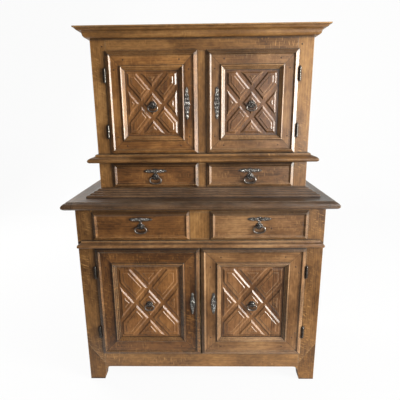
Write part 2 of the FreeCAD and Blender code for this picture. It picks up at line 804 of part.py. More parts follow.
def cornice():
    reach = "cornice_reach"
    points = [(f"{reach}*{out}", f"total_height - cornice_height*{down}") for out, down in CORNICE_SHARES]
    outline = [("0", "total_height"), ("0", "total_height - cornice_height"), points[0],
               points[1] + (1, QUARTER_SHARE), points[2], points[3] + (-1, QUARTER_SHARE), points[4],
               points[5] + (1, QUARTER_SHARE), points[6] + (-1, QUARTER_SHARE), points[7],
               (reach, "total_height")]
    lengths = moulding("cornice", "upper_axis", "upper_width/2", "upper_front", outline, reach)
    keep(group("cornice_set", lengths), "upper_cornice")
    x = span("upper_axis", "upper_width")
    top = board("top_boards", x, ("upper_front", "back_plane"), ("upper_top", "total_height"))
    keep(top, "upper_top_boards")


def door_limits(name):
    """Distances from the middle of a door's near and far edges, and its low and high edges."""
    near = "lower_door_gap/2" if name == "lower" else "(upper_divider_width/2 - lip_overlap)"
    return near, door_far(name), f"({name}_door_low - lip_overlap)", f"({name}_door_high + lip_overlap)"


def frame_outline(name, distance):
    """Section of a stile or rail below the door's centre, whose outer edge is at the distance.
    Steps are measured in from that edge and forward from the carcass face: a rounded border, a
    flat, a raised inner moulding with a quirk, and a groove for the panel."""
    frame = f"{name}_door_frame"
    sight = f"({frame} + bolection_width)"
    rebate = "(lip_overlap + rebate_clearance)"
    slot_high = "(groove_clearance - panel_ground)"
    slot_low = "(0 - panel_ground - panel_board - groove_clearance)"
    slot_end = f"({sight} - panel_tongue - groove_clearance)"
    crest, quirk = [f"({frame} + bolection_width*{share})" for share in BOLECTION_SHARES[:2]]
    rise = "(bolection_rise - bolection_edge)"
    quirk_high, quirk_low = [f"(bolection_edge + {rise}*{share})" for share in BOLECTION_SHARES[2:]]
    steps = [("0", "lip_gap"), ("0", "door_edge"),
             ("door_border_rise - door_edge", "door_border_rise", -1, QUARTER_SHARE),
             (f"door_border_width*{BORDER_CREST_SHARE}", "door_border_rise"),
             ("door_border_width", "door_face", 1, SHALLOW_SHARE),
             (frame, "door_face"), (crest, "bolection_rise", -1, QUARTER_SHARE),
             (quirk, quirk_high, 1, SHALLOW_SHARE), (quirk, quirk_low), (sight, "bolection_edge"),
             (sight, slot_high), (slot_end, slot_high), (slot_end, slot_low), (sight, slot_low),
             (sight, "0 - door_back"), (rebate, "0 - door_back"), (rebate, "lip_gap")]
    return [(f"0 - ({step[1]})", f"{step[0]} - ({distance})") + tuple(step[2:]) for step in steps]


def frame_bar(label, name, length, distance, centre):
    """Mitred length of a door frame, along X below the door's centre."""
    bar = new_body(label, *centre)
    sketch = new_sketch(bar, "YZ_Plane")
    draw(sketch, frame_outline(name, distance))
    pad(bar, sketch, length, symmetric=True)
    mitres = new_sketch(bar, "XZ_Plane")
    rise = f"({name}_door_frame + bolection_width + overrun)"
    high = f"{rise} - ({distance})"
    for sign in ("", "-"):
        end = f"{sign}({length})/2"
        draw(mitres, [(end, f"0 - ({distance})"), (end, high), (f"{sign}(({length})/2 - {rise})", high)])
    pocket(bar, mitres)
    return bar


def doors(name):
    """Right door frame and panel, then the left ones as their mirror image."""
    near, far, low, high = door_limits(name)
    axis = f"{name}_axis"
    width = f"({far} - {near})"
    height = f"({high} - {low})"
    centre = (f"{axis} + ({far} + {near})/2", f"{name}_front", f"({high} + {low})/2")
    rail = frame_bar(f"{name}_door_rail", name, width, f"{height}/2", centre)
    stile = frame_bar(f"{name}_door_stile", name, height, f"{width}/2", centre)
    stile.Placement.Rotation = FreeCAD.Rotation(unit_vector("y"), -FULL_TURN / 4)
    leaves = [door_leaf_place(name, 1, level) for level in hinge_heights(name)]
    hung_stile = cut(f"{name}_hung_stile", stile, mortises(f"{name}_stile", leaves))
    lengths = [rail, mirrored(f"{name}_door_top_rail", rail, "z", centre[2]),
               hung_stile, mirrored(f"{name}_meeting_stile", stile, "x", centre[0])]
    frame = keep(group(f"{name}_door_lengths", lengths), f"{name}_right_door_frame")
    keep(mirrored(f"{name}_left_lengths", frame, "x", axis), f"{name}_left_door_frame")
    panel = keep(door_panel(name, width, height, centre), f"{name}_right_door_panel")
    keep(mirrored(f"{name}_left_panel", panel, "x", axis), f"{name}_left_door_panel")


def bevel_steps(start, shelf):
    """From the flat ground of a cut over a bevel, a shelf and a finer bevel, then clear of the wood."""
    first = f"({start} + bevel_width)"
    second = f"({first} + {shelf})"
    third = f"({second} + field_bevel_width)"
    return [(start, "panel_ground"), (first, "bevel_level"), (second, "bevel_level"),
            (third, "field_level"), (third, "cut_level")]


def door_panel(name, width, height, centre):
    """Panel carved with a St Andrew's cross. Two pairs of flat-bottomed cuts run parallel to the
    diagonals and a margin is cut round the edge, each with a stepped bevel, so that nine
    bevelled fields stand between them."""
    inset = f"({name}_door_frame + bolection_width)"
    half_wide = f"({width}/2 - {inset})"
    half_tall = f"({height}/2 - {inset})"
    offset = f"({CROSS_ARM_SHARE}*{half_wide}*{half_tall}/sqrt({half_wide}^2 + {half_tall}^2))"
    shelf = f"({FIELD_SHELF_SHARE}*({offset} - cross_strip/2))"
    wide = f"({half_wide} + panel_tongue)"
    tall = f"({half_tall} + panel_tongue)"
    panel = new_body(f"{name}_panel", *centre)
    outline = new_sketch(panel, "XZ_Plane", lift="0 - panel_ground - panel_board")
    draw_box(outline, wide, tall)
    pad(panel, outline, "panel_ground + panel_board - field_level")
    steps = bevel_steps("cross_strip/2", shelf)
    for sign in (1, -1):
        strips = new_sketch(panel, "YZ_Plane")
        strips.AttachmentOffset = FreeCAD.Placement(FreeCAD.Vector(), FreeCAD.Rotation(unit_vector("x"), 0))
        slant = f"{sign}*atan({half_tall}/{half_wide})"
        strips.setExpression("AttachmentOffset.Rotation.Angle", bound(slant))
        for line in (offset, f"-{offset}"):
            far_side = [(level, f"{line} + {out}") for out, level in steps]
            near_side = [(level, f"{line} - {out}") for out, level in reversed(steps)]
            draw(strips, far_side + near_side)
        pocket(panel, strips)
    steps = bevel_steps("(panel_tongue + panel_margin)", shelf)
    for plane, reach in (("YZ_Plane", tall), ("XY_Plane", wide)):
        margin = new_sketch(panel, plane)
        for sign in (1, -1):
            outside = f"{sign}*({reach} + overrun)"
            points = [(level, f"{sign}*({reach} - {out})") for out, level in steps]
            points += [("cut_level", outside), ("panel_ground", outside)]
            draw(margin, points if plane == "YZ_Plane" else [point[::-1] for point in points])
        pocket(panel, margin)
    return panel


def drawer_half_width(name):
    return f"(({name}_width - {name}_divider_width)/4 - {name}_post_width/2)"


def drawer_out(name):
    """Distance from the middle of the body to the middle of a drawer."""
    return f"({name}_divider_width/2 + {drawer_half_width(name)})"


def drawer_height(name):
    return f"({name}_drawer_high + {name}_drawer_low)/2"


def drawer_front(name):
    """Lipped front: a rounded edge, a raised border with a wide bevel down to the field, and the
    block behind that fills the opening."""
    half_wide = drawer_half_width(name)
    half_tall = f"({name}_drawer_height/2)"
    centre = (f"{name}_axis + {drawer_out(name)}", f"{name}_front", drawer_height(name))
    body = new_body(f"{name}_drawer_blank", *centre)
    lips = new_sketch(body, "XZ_Plane", lift="lip_gap")
    draw_box(lips, f"({half_wide} + lip_overlap)", f"({half_tall} + lip_overlap)")
    pad(body, lips, "drawer_border_rise - lip_gap")
    soften(body, "Fillet", "Radius", "drawer_border_rise - drawer_edge", front_face(body.Shape).Edges)
    border = "lip_overlap - drawer_border_width"
    slope = "overrun*drawer_bevel_width/(drawer_border_rise - drawer_field)"
    field = new_sketch(body, "XZ_Plane", lift="drawer_field")
    draw_box(field, f"({half_wide} + {border})", f"({half_tall} + {border})")
    mouth = new_sketch(body, "XZ_Plane", lift="drawer_border_rise + overrun")
    border = f"{border} + drawer_bevel_width + {slope}"
    draw_box(mouth, f"({half_wide} + {border})", f"({half_tall} + {border})")
    bevel = body.newObject("PartDesign::SubtractiveLoft", f"{name}_drawer_bevel")
    bevel.Profile = field
    bevel.Sections = [mouth]
    bevel.Ruled = True
    doc.recompute()
    block = new_sketch(body, "XZ_Plane", lift="lip_gap")
    draw_box(block, f"({half_wide} - rebate_clearance)", f"({half_tall} - rebate_clearance)")
    pad(body, block, "lip_gap + drawer_back", back=True)
    return body


def drawer_box(name):
    """Two sides, back and bottom behind the right drawer's front."""
    x = shrunk(span(f"{name}_axis + {drawer_out(name)}", f"2*{drawer_half_width(name)}"), "rebate_clearance")
    z = (f"{name}_drawer_low + drawer_gap", f"{name}_drawer_high - drawer_top_room")
    start = f"{name}_front + drawer_back"
    end = f"boards_front - {name}_drawer_room"
    rear = f"{end} - drawer_side"
    inner = shrunk(x, "drawer_side")
    low = f"{z[0]} + drawer_bottom_lift"
    pieces = [board(f"{name}_drawer_near", (x[0], inner[0]), (start, end), z),
              board(f"{name}_drawer_far", (inner[1], x[1]), (start, end), z),
              board(f"{name}_drawer_rear", inner, (rear, end), z),
              board(f"{name}_drawer_base", inner, (start, rear), (low, f"{low} + drawer_bottom"))]
    return group(f"{name}_drawer_boards", pieces)


def rosette_with_eye(label, radius, place):
    """Petalled rosette with a boss, and a lug with the hole that a pull hangs in."""
    notch, share, thickness = PETAL_SHARES
    body = new_body(label, *place)
    petals = new_sketch(body, "XZ_Plane")
    draw_round(petals, f"{radius}*{notch}", PETALS, share)
    pad(body, petals, f"rosette_thickness*{thickness}")
    boss = new_sketch(body, "XZ_Plane")
    draw_circle(boss, "0", "0", f"{radius}*{BOSS_SHARE}")
    pad(body, boss, "rosette_thickness")
    lug = new_sketch(body, "YZ_Plane")
    draw(lug, [("0", "eye_radius"), ("0", "-eye_radius"), ("-eye_reach", "-eye_radius"),
               ("-eye_reach - eye_radius", "0", -1, QUARTER_SHARE),
               ("-eye_reach", "eye_radius", -1, QUARTER_SHARE)])
    draw_circle(lug, "-eye_reach", "0", "eye_hole_radius")
    pad(body, lug, "eye_thickness", symmetric=True)
    return body


def keyhole(sketch):
    half = "keyhole_width/2"
    foot = "keyhole_height/2"
    draw(sketch, [(f"-{half}", f"-{foot}"), (half, f"-{foot}"), (half, foot),
                  ("0", f"{foot} + {half}", 1, QUARTER_SHARE), (f"-{half}", foot, 1, QUARTER_SHARE)])


def key_plate(label, name, place):
    """Pierced plate of a door: the right half of the outline, then its mirror image back down."""
    body = new_body(label, *place)
    sketch = new_sketch(body, "XZ_Plane")
    wide = f"{name}_key_plate_width/2"
    tall = f"{name}_key_plate_height/2"
    outline = list(KEY_PLATE_SHARES[1:])
    for number in range(len(KEY_PLATE_SHARES) - 2, -1, -1):
        across, along = KEY_PLATE_SHARES[number][:2]
        outline.append((-across, along) + KEY_PLATE_SHARES[number + 1][2:])
    draw_shares(sketch, outline, wide, tall)
    for across, along, half, reach in PIERCING_SHARES:
        draw_shares(sketch, [(across, along - reach), (across + half, along), (across, along + reach),
                             (across - half, along)], wide, tall)
    keyhole(sketch)
    pad(body, sketch, "key_plate_thickness")
    return body


def pull_plate(label, place):
    """Winged plate round the keyhole of a drawer."""
    body = new_body(label, *place)
    sketch = new_sketch(body, "XZ_Plane")
    draw_shares(sketch, PULL_PLATE_SHARES, "pull_plate_width/2", "pull_plate_height/2")
    keyhole(sketch)
    pad(body, sketch, "key_plate_thickness")
    return body


def knuckle(label, name, side, height, on_door):
    """Half of a hinge: a turned barrel with a tapered end and a leaf. The carcass half has the
    pin, and the door half is bored for it."""
    body = new_body(f"{label}_barrel", *hinge_axis(name, side), height)
    sketch = new_sketch(body, "XZ_Plane")
    near = "hinge_knuckle_gap/2"
    end = f"({near} + hinge_knuckle)"
    tip = f"({end} + hinge_finial_length)"
    barrel = "hinge_barrel_radius"
    button = f"{barrel}*{FINIAL_FLAT_SHARE}"
    pin = "hinge_pin_radius"
    pin_top = f"({near} + hinge_pin_length)"
    if on_door:
        bore = f"({pin} + hinge_pin_fit)"
        depth = f"({pin_top} + hinge_bore_end)"
        draw(sketch, [(bore, near), (barrel, near), (barrel, end), (button, tip), ("0", tip),
                      ("0", depth), (bore, depth)])
        place = door_leaf_place(name, side, height)
    else:
        draw(sketch, [("0", f"-{tip}"), (button, f"-{tip}"), (barrel, f"-{end}"), (barrel, f"-{near}"),
                      (pin, f"-{near}"), (pin, pin_top), ("0", pin_top)])
        place = post_leaf_place(name, side, height)
    revolve(body, sketch)
    return fuse(label, [body, board(f"{label}_leaf", *place)])


def pull(label, kind, place):
    """Oval wire that hangs in an eye by the middle of its upper crown. Two flat crowns run into two
    tighter sides, whose centres lie either side of the middle."""
    side = f"{kind}_side_radius"
    spread = f"{kind}_side_spread"
    depth = f"{kind}_crown_depth"
    reach = f"sqrt({spread}^2 + {depth}^2)"
    crown = f"({side} + {reach})"
    middle = f"({depth} - {crown})"
    across = f"({spread} + {side}*{spread}/{reach})"
    rise = f"({side}*{depth}/{reach})"
    body = new_body(label, *place)
    path = new_sketch(body, "XZ_Plane")
    draw(path, [(across, f"{middle} + {rise}", -1, crown), (across, f"{middle} - {rise}", -1, side),
                (f"0 - {across}", f"{middle} - {rise}", -1, crown),
                (f"0 - {across}", f"{middle} + {rise}", -1, side), ("0", "0", -1, crown)])
    section = new_sketch(body, "YZ_Plane")
    draw_round(section, f"{kind}_wire_radius", WIRE_FLATS)
    wire = body.newObject("PartDesign::AdditivePipe", label + "_wire")
    wire.Profile = section
    wire.Spine = (path, [f"Edge{number + 1}" for number in range(path.GeometryCount)])
    doc.recompute()
    return body


def door_irons(name):
    """Ironwork and ring of each door. Returns the carcass halves of its hinges."""
    axis = f"{name}_axis"
    front = f"{name}_front"
    near, far, low, high = door_limits(name)
    height = f"({high} + {low})/2"
    eye_level = f"({height} - door_pull_drop)"
    field = f"{front} + field_level"
    back = f"{front} + door_back"
    pins = []
    for hand, side in SIDES.items():
        door = f"{name}_{hand}_door"
        key = beside(side, axis, f"({near} + {name}_{hand}_key_inset)")
        centre = beside(side, axis, f"({near} + {far})/2")
        irons = [key_plate(f"{door}_key_plate", name, (key, f"{front} - door_face", height)),
                 board(f"{door}_lock", span(key, "lock_case_width"), (back, f"{back} + lock_case_depth"),
                       span(height, "lock_case_height")),
                 rosette_with_eye(f"{door}_rosette", "rosette_radius", (centre, field, eye_level))]
        for number, level in enumerate(hinge_heights(name)):
            irons.append(knuckle(f"{door}_hinge_{number}", name, side, level, True))
            pins.append(knuckle(f"{door}_pin_{number}", name, side, level, False))
        keep(group(f"{door}_irons", irons), f"{door}_ironwork")
        keep(pull(f"{door}_pull", "ring", (centre, f"{field} - eye_reach", eye_level)), f"{door}_ring")
    return pins


def drawers(name):
    """Right drawer's front and box, their mirror images, and the ironwork of both."""
    axis = f"{name}_axis"
    front = keep(drawer_front(name), f"{name}_right_drawer_front")
    keep(mirrored(f"{name}_left_front", front, "x", axis), f"{name}_left_drawer_front")
    box = keep(drawer_box(name), f"{name}_right_drawer_box")
    keep(mirrored(f"{name}_left_boards", box, "x", axis), f"{name}_left_drawer_box")
    face = f"{name}_front - drawer_field"
    back = f"{name}_front + drawer_back"
    plate_level = f"({drawer_height(name)} + {name}_pull_lift)"
    eye_level = f"({plate_level} - {name}_pull_drop)"
    for hand, side in SIDES.items():
        drawer = f"{name}_{hand}_drawer"
        centre = beside(side, axis, drawer_out(name))
        irons = [pull_plate(f"{drawer}_plate", (centre, face, plate_level)),
                 board(f"{drawer}_lock", span(centre, "lock_case_width"), (back, f"{back} + lock_case_depth"),
                       span(plate_level, "drawer_lock_height")),
                 rosette_with_eye(f"{drawer}_staple", "staple_radius", (centre, face, eye_level))]
        keep(group(f"{drawer}_irons", irons), f"{drawer}_ironwork")
        keep(pull(f"{drawer}_pull", "bail", (centre, f"{face} - eye_reach", eye_level)), f"{drawer}_bail")


def finish():
    """Checks every object, then writes one file for each node."""
    doc.recompute()
    for item in doc.Objects:
        if "Invalid" in item.State or "Error" in item.State:
            raise RuntimeError(f"{item.Label}: {item.State}")
    for node in nodes:
        if node.Shape.isNull() or not node.Shape.isValid():
            raise RuntimeError(node.Label + ": no valid shape")
    os.makedirs("parts", exist_ok=True)
    for node in nodes:
        node.Shape.exportStep(f"parts/{node.Label}.step")
        print(node.Label, len(node.Shape.Solids), "solids")


hinge_pins = []
for body_name in BODIES:
    posts(body_name)
    front_rails(body_name)
    side_frames(body_name)
    back_boards(body_name)
    floor_and_shelf(body_name)
    bearers(body_name)
    doors(body_name)
    hinge_pins += door_irons(body_name)
    drawers(body_name)
keep(group("carcass_hinges", hinge_pins), "hinge_pins")
spliced_feet()
apron()
table()
lower_waist()
upper_base()
upper_waist()
cornice()
finish()
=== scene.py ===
import math
import bmesh
import bpy
import numpy as np
from mathutils import Matrix, Vector


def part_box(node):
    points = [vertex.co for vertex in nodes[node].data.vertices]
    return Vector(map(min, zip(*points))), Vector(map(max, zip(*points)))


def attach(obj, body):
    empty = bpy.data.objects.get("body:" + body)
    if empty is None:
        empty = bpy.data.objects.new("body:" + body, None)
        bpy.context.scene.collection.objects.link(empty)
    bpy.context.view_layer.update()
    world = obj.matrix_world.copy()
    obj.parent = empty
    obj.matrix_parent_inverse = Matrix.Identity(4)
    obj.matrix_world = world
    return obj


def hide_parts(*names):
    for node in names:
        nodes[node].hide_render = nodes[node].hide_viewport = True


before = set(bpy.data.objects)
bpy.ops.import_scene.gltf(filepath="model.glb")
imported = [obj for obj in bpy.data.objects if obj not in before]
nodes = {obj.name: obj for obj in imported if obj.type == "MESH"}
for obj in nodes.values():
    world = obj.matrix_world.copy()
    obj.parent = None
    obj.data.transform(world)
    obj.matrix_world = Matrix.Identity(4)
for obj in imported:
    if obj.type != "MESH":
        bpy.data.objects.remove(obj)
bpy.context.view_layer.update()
scene = bpy.context.scene
scene.view_settings.view_transform = "Standard"
millimetre = 0.001
print("frame loaded:", len(nodes), "nodes")


# small helpers for node trees

def addNode(tree, kind, **settings):
    node = tree.nodes.new(kind)
    for key, setting in settings.items():
        setattr(node, key, setting)
    return node


def feed(tree, socket, source):
    if isinstance(source, bpy.types.NodeSocket):
        tree.links.new(source, socket)
    else:
        socket.default_value = source


def calc(tree, operation, first, second=0.0):
    node = addNode(tree, "ShaderNodeMath", operation=operation)
    feed(tree, node.inputs[0], first)
    feed(tree, node.inputs[1], second)
    return node.outputs[0]


def inverse(tree, source):
    return calc(tree, "SUBTRACT", 1.0, source)


def total(tree, *terms):
    # sum of (source, weight) pairs and plain numbers
    result = 0.0
    for term in terms:
        weighted = calc(tree, "MULTIPLY", *term) if isinstance(term, tuple) else term
        result = calc(tree, "ADD", result, weighted)
    return result


def weighed(masks, weights):
    return [(masks[key], weight) for key, weight in weights.items()]


def calcVector(tree, operation, first, second):
    node = addNode(tree, "ShaderNodeVectorMath", operation=operation)
    feed(tree, node.inputs[0], first)
    feed(tree, node.inputs[1], second)
    return node.outputs[0]


def splitVector(tree, vector):
    node = addNode(tree, "ShaderNodeSeparateXYZ")
    feed(tree, node.inputs[0], vector)
    return node.outputs


def joinVector(tree, *parts):
    node = addNode(tree, "ShaderNodeCombineXYZ")
    for socket, source in zip(node.inputs, parts):
        feed(tree, socket, source)
    return node.outputs[0]


def blendColor(tree, amount, first, second):
    node = addNode(tree, "ShaderNodeMix", data_type="RGBA")
    for number, source in ((0, amount), (6, first), (7, second)):
        feed(tree, node.inputs[number], source)
    return node.outputs[2]


def blendVector(tree, amount, first, second):
    node = addNode(tree, "ShaderNodeMix", data_type="VECTOR")
    for number, source in ((0, amount), (4, first), (5, second)):
        feed(tree, node.inputs[number], source)
    return node.outputs[1]


def cover(tree, color, mask, share, tone):
    # lays a tone over a colour where the mask is, at most by the share
    return blendColor(tree, calc(tree, "MULTIPLY", mask, share), color, tone)


def remap(tree, source, low, high, toLow=0.0, toHigh=1.0):
    node = addNode(tree, "ShaderNodeMapRange", interpolation_type="SMOOTHSTEP")
    for socket, setting in zip(node.inputs, (source, low, high, toLow, toHigh)):
        feed(tree, socket, setting)
    return node.outputs[0]


def pattern(tree, vector, look):
    # noise, drawn out along Z where the look says how much, and cut to a mask where it gives a range
    if "stretch" in look:
        vector = calcVector(tree, "MULTIPLY", vector, (1, 1, look["stretch"]))
    node = addNode(tree, "ShaderNodeTexNoise")
    feed(tree, node.inputs["Vector"], vector)
    for key, setting in (("Scale", look["scale"]), ("Detail", look["detail"]), ("Roughness", look["rough"])):
        feed(tree, node.inputs[key], setting)
    return remap(tree, node.outputs[0], *look["range"]) if "range" in look else node.outputs[0]


def newGroup(name, settings, values, vectors=()):
    # every group takes a point and its settings, and gives values and vectors
    group = bpy.data.node_groups.new(name, "ShaderNodeTree")
    group.interface.new_socket("Vector", in_out="INPUT", socket_type="NodeSocketVector")
    for label, start in settings.items():
        socket = group.interface.new_socket(label, in_out="INPUT", socket_type="NodeSocketFloat")
        socket.default_value = start
    for labels, kind in ((values, "NodeSocketFloat"), (vectors, "NodeSocketVector")):
        for label in labels:
            group.interface.new_socket(label, in_out="OUTPUT", socket_type=kind)
    return group, addNode(group, "NodeGroupInput").outputs, addNode(group, "NodeGroupOutput").inputs


def placeGroup(tree, group, **values):
    node = addNode(tree, "ShaderNodeGroup", node_tree=group)
    for key, source in values.items():
        feed(tree, node.inputs[key], source)
    return node.outputs


def newMaterial(name):
    material = bpy.data.materials.new(name)
    material.use_nodes = True
    tree = material.node_tree
    return material, tree, tree.nodes["Principled BSDF"]


def objectPoint(tree):
    return addNode(tree, "ShaderNodeTexCoord").outputs["Object"]


def addBump(tree, shader, look, height, normal=None):
    bump = addNode(tree, "ShaderNodeBump")
    bump.inputs["Strength"].default_value = look["strength"]
    bump.inputs["Distance"].default_value = look["distance"]
    feed(tree, bump.inputs["Height"], height)
    if normal is not None:
        feed(tree, bump.inputs["Normal"], normal)
    feed(tree, shader.inputs["Normal"], bump.outputs[0])


def seenLevel(tree, straight, mirrored):
    # how bright the stage shows itself to the camera or through glass, and how bright in reflections
    path = addNode(tree, "ShaderNodeLightPath")
    direct = calc(tree, "MAXIMUM", path.outputs["Is Camera Ray"], path.outputs["Is Transmission Ray"])
    glossy = calc(tree, "MULTIPLY", path.outputs["Is Glossy Ray"], mirrored)
    return calc(tree, "MAXIMUM", calc(tree, "MULTIPLY", direct, straight), glossy)


def linear(red, green, blue):
    # from the 0 to 255 of a screen colour to linear light
    channels = np.array((red, green, blue)) / 255
    flat = np.where(channels < 0.04045, channels / 12.92, ((channels + 0.055) / 1.055) ** 2.4)
    return (*flat, 1.0)


# shared effects

grainLook = {
    "ringWidth": 0.011, "waviness": 0.02, "poreLength": 0.03,
    "heart": (0.055, 0.085), "swing": 2.0, "ringPower": 1.8,
    "sway": {"stretch": 0.16, "scale": 5.5, "detail": 2.0, "rough": 0.55},
    "streaks": {"stretch": 0.06, "scale": 95.0, "detail": 4.0, "rough": 0.65, "range": (0.3, 0.7)},
    "fibres": {"stretch": 0.02, "scale": 420.0, "detail": 3.0, "rough": 0.65},
    "poresPerMetre": 900.0, "pores": {"scale": 1.0, "detail": 1.0, "rough": 0.55, "range": (0.62, 0.74)},
    "raysPerMetre": {"across": 34.0, "along": 170.0, "slant": 60.0},
    "rays": {"scale": 1.0, "detail": 2.0, "rough": 0.55, "range": (0.56, 0.66)},
    "beds": {"stretch": 0.35, "scale": 11.0, "detail": 2.0, "rough": 0.55, "range": (0.42, 0.6)},
}


def makeGrain():
    # grain runs along Z of the vector: growth rings round a far axis, soft streaks, fine fibres, short pores,
    # and the pale ray flecks that lie slantwise across quartered oak
    look = grainLook
    settings = {"Ring Width": look["ringWidth"], "Waviness": look["waviness"],
                "Pore Length": look["poreLength"]}
    group, given, out = newGroup("woodGrain", settings, ("Rings", "Streaks", "Fibres", "Pores", "Flecks"))
    point = given["Vector"]
    x, y, z = splitVector(group, point)
    sway = calc(group, "SUBTRACT", pattern(group, point, look["sway"]), 0.5)
    sway = calc(group, "MULTIPLY", sway, given["Waviness"])
    across, deep = (calc(group, "POWER", calc(group, "ADD", source, shift), 2.0)
                    for source, shift in zip((x, y), look["heart"]))
    radius = total(group, calc(group, "SQRT", calc(group, "ADD", across, deep)), (sway, look["swing"]))
    turn = calc(group, "FRACT", calc(group, "DIVIDE", radius, given["Ring Width"]))
    feed(group, out["Rings"], calc(group, "POWER", turn, look["ringPower"]))
    feed(group, out["Streaks"], pattern(group, point, look["streaks"]))
    feed(group, out["Fibres"], pattern(group, point, look["fibres"]))
    dash = [calc(group, "MULTIPLY", source, look["poresPerMetre"]) for source in (x, y)]
    dash = joinVector(group, *dash, calc(group, "DIVIDE", z, given["Pore Length"]))
    feed(group, out["Pores"], pattern(group, dash, look["pores"]))
    pitch = look["raysPerMetre"]
    flat = [calc(group, "MULTIPLY", source, pitch["across"]) for source in (x, y)]
    slant = total(group, (z, pitch["along"]), (x, pitch["slant"]))
    rays = pattern(group, joinVector(group, *flat, slant), look["rays"])
    feed(group, out["Flecks"], calc(group, "MULTIPLY", rays, pattern(group, point, look["beds"])))
    return group


wearLook = {
    "radius": 0.0045, "softness": 0.0011, "patchiness": 0.5, "samples": 6, "turned": (0.008, 0.08),
    "patches": {"scale": 38.0, "detail": 4.0, "rough": 0.65, "range": (0.36, 0.62)},
}


def makeEdgeWear():
    # wear mask where the face turns within the radius, broken up by noise, and a normal softened less widely
    look = wearLook
    settings = {"Radius": look["radius"], "Softness": look["softness"], "Patchiness": look["patchiness"]}
    group, given, out = newGroup("edgeWear", settings, ("Wear",), ("Normal",))
    wide, soft = (addNode(group, "ShaderNodeBevel", samples=look["samples"]) for count in range(2))
    feed(group, wide.inputs["Radius"], given["Radius"])
    feed(group, soft.inputs["Radius"], given["Softness"])
    plain = addNode(group, "ShaderNodeNewGeometry")
    dot = addNode(group, "ShaderNodeVectorMath", operation="DOT_PRODUCT")
    feed(group, dot.inputs[0], wide.outputs[0])
    feed(group, dot.inputs[1], plain.outputs["True Normal"])
    turned = remap(group, inverse(group, dot.outputs["Value"]), *look["turned"])
    patches = pattern(group, given["Vector"], look["patches"])
    bare = calc(group, "MULTIPLY", inverse(group, patches), given["Patchiness"])
    feed(group, out["Wear"], calc(group, "MULTIPLY", turned, inverse(group, bare)))
    feed(group, out["Normal"], soft.outputs[0])
    return group


shadeSootAndDustLook = {
    "reach": 0.015, "samples": 8, "closed": (0.06, 0.33), "level": (0.35, 0.95),
    "broken": {"scale": 24.0, "detail": 4.0, "rough": 0.6, "range": (0.25, 0.75, 0.6, 1.0)},
    "lain": {"scale": 9.0, "detail": 5.0, "rough": 0.6, "range": (0.3, 0.75)},
}


def makeShadeSootAndDust():
    # painted shade: darker in recesses and round what is fixed on, found by ambient occlusion, and on ledges
    # that face up; grey dust on what faces up; iron lays the recess mask as soot
    look = shadeSootAndDustLook
    group, given, out = newGroup("shadeSootAndDust", {"Reach": look["reach"]}, ("Recess", "LedgeShade", "Dust"))
    hollow = addNode(group, "ShaderNodeAmbientOcclusion", samples=look["samples"])
    feed(group, hollow.inputs["Distance"], given["Reach"])
    broken = pattern(group, given["Vector"], look["broken"])
    closed = remap(group, inverse(group, hollow.outputs["AO"]), *look["closed"])
    # painted shade in recesses and where other parts stand close by
    feed(group, out["Recess"], calc(group, "MULTIPLY", closed, broken))
    plain = addNode(group, "ShaderNodeNewGeometry")
    level = remap(group, splitVector(group, plain.outputs["True Normal"])[2], *look["level"])
    # painted shade on faces that look up, broken by noise
    feed(group, out["LedgeShade"], calc(group, "MULTIPLY", level, broken))
    feed(group, out["Dust"], calc(group, "MULTIPLY", level, pattern(group, given["Vector"], look["lain"])))
    return group


holeLook = {"spacing": 0.045, "radius": 0.0014, "share": 0.25, "rim": (0.6, 1.0)}


def makeWormHoles():
    # round dark holes in some of the cells of a scatter
    look = holeLook
    settings = {"Spacing": look["spacing"], "Radius": look["radius"], "Share": look["share"]}
    group, given, out = newGroup("wormHoles", settings, ("Holes",))
    cells = addNode(group, "ShaderNodeTexVoronoi")
    feed(group, cells.inputs["Vector"], given["Vector"])
    feed(group, cells.inputs["Scale"], calc(group, "DIVIDE", 1.0, given["Spacing"]))
    away = calc(group, "MULTIPLY", cells.outputs["Distance"], given["Spacing"])
    inside = remap(group, calc(group, "DIVIDE", away, given["Radius"]), *look["rim"], 1.0, 0.0)
    kept = calc(group, "LESS_THAN", splitVector(group, cells.outputs["Color"])[0], given["Share"])
    feed(group, out["Holes"], calc(group, "MULTIPLY", inside, kept))
    return group


woodGrain = makeGrain()
edgeWear = makeEdgeWear()
shadeSootAndDust = makeShadeSootAndDust()
wormHoles = makeWormHoles()
print("shared effects built")


# wood: each piece gets its own grain direction, board by board

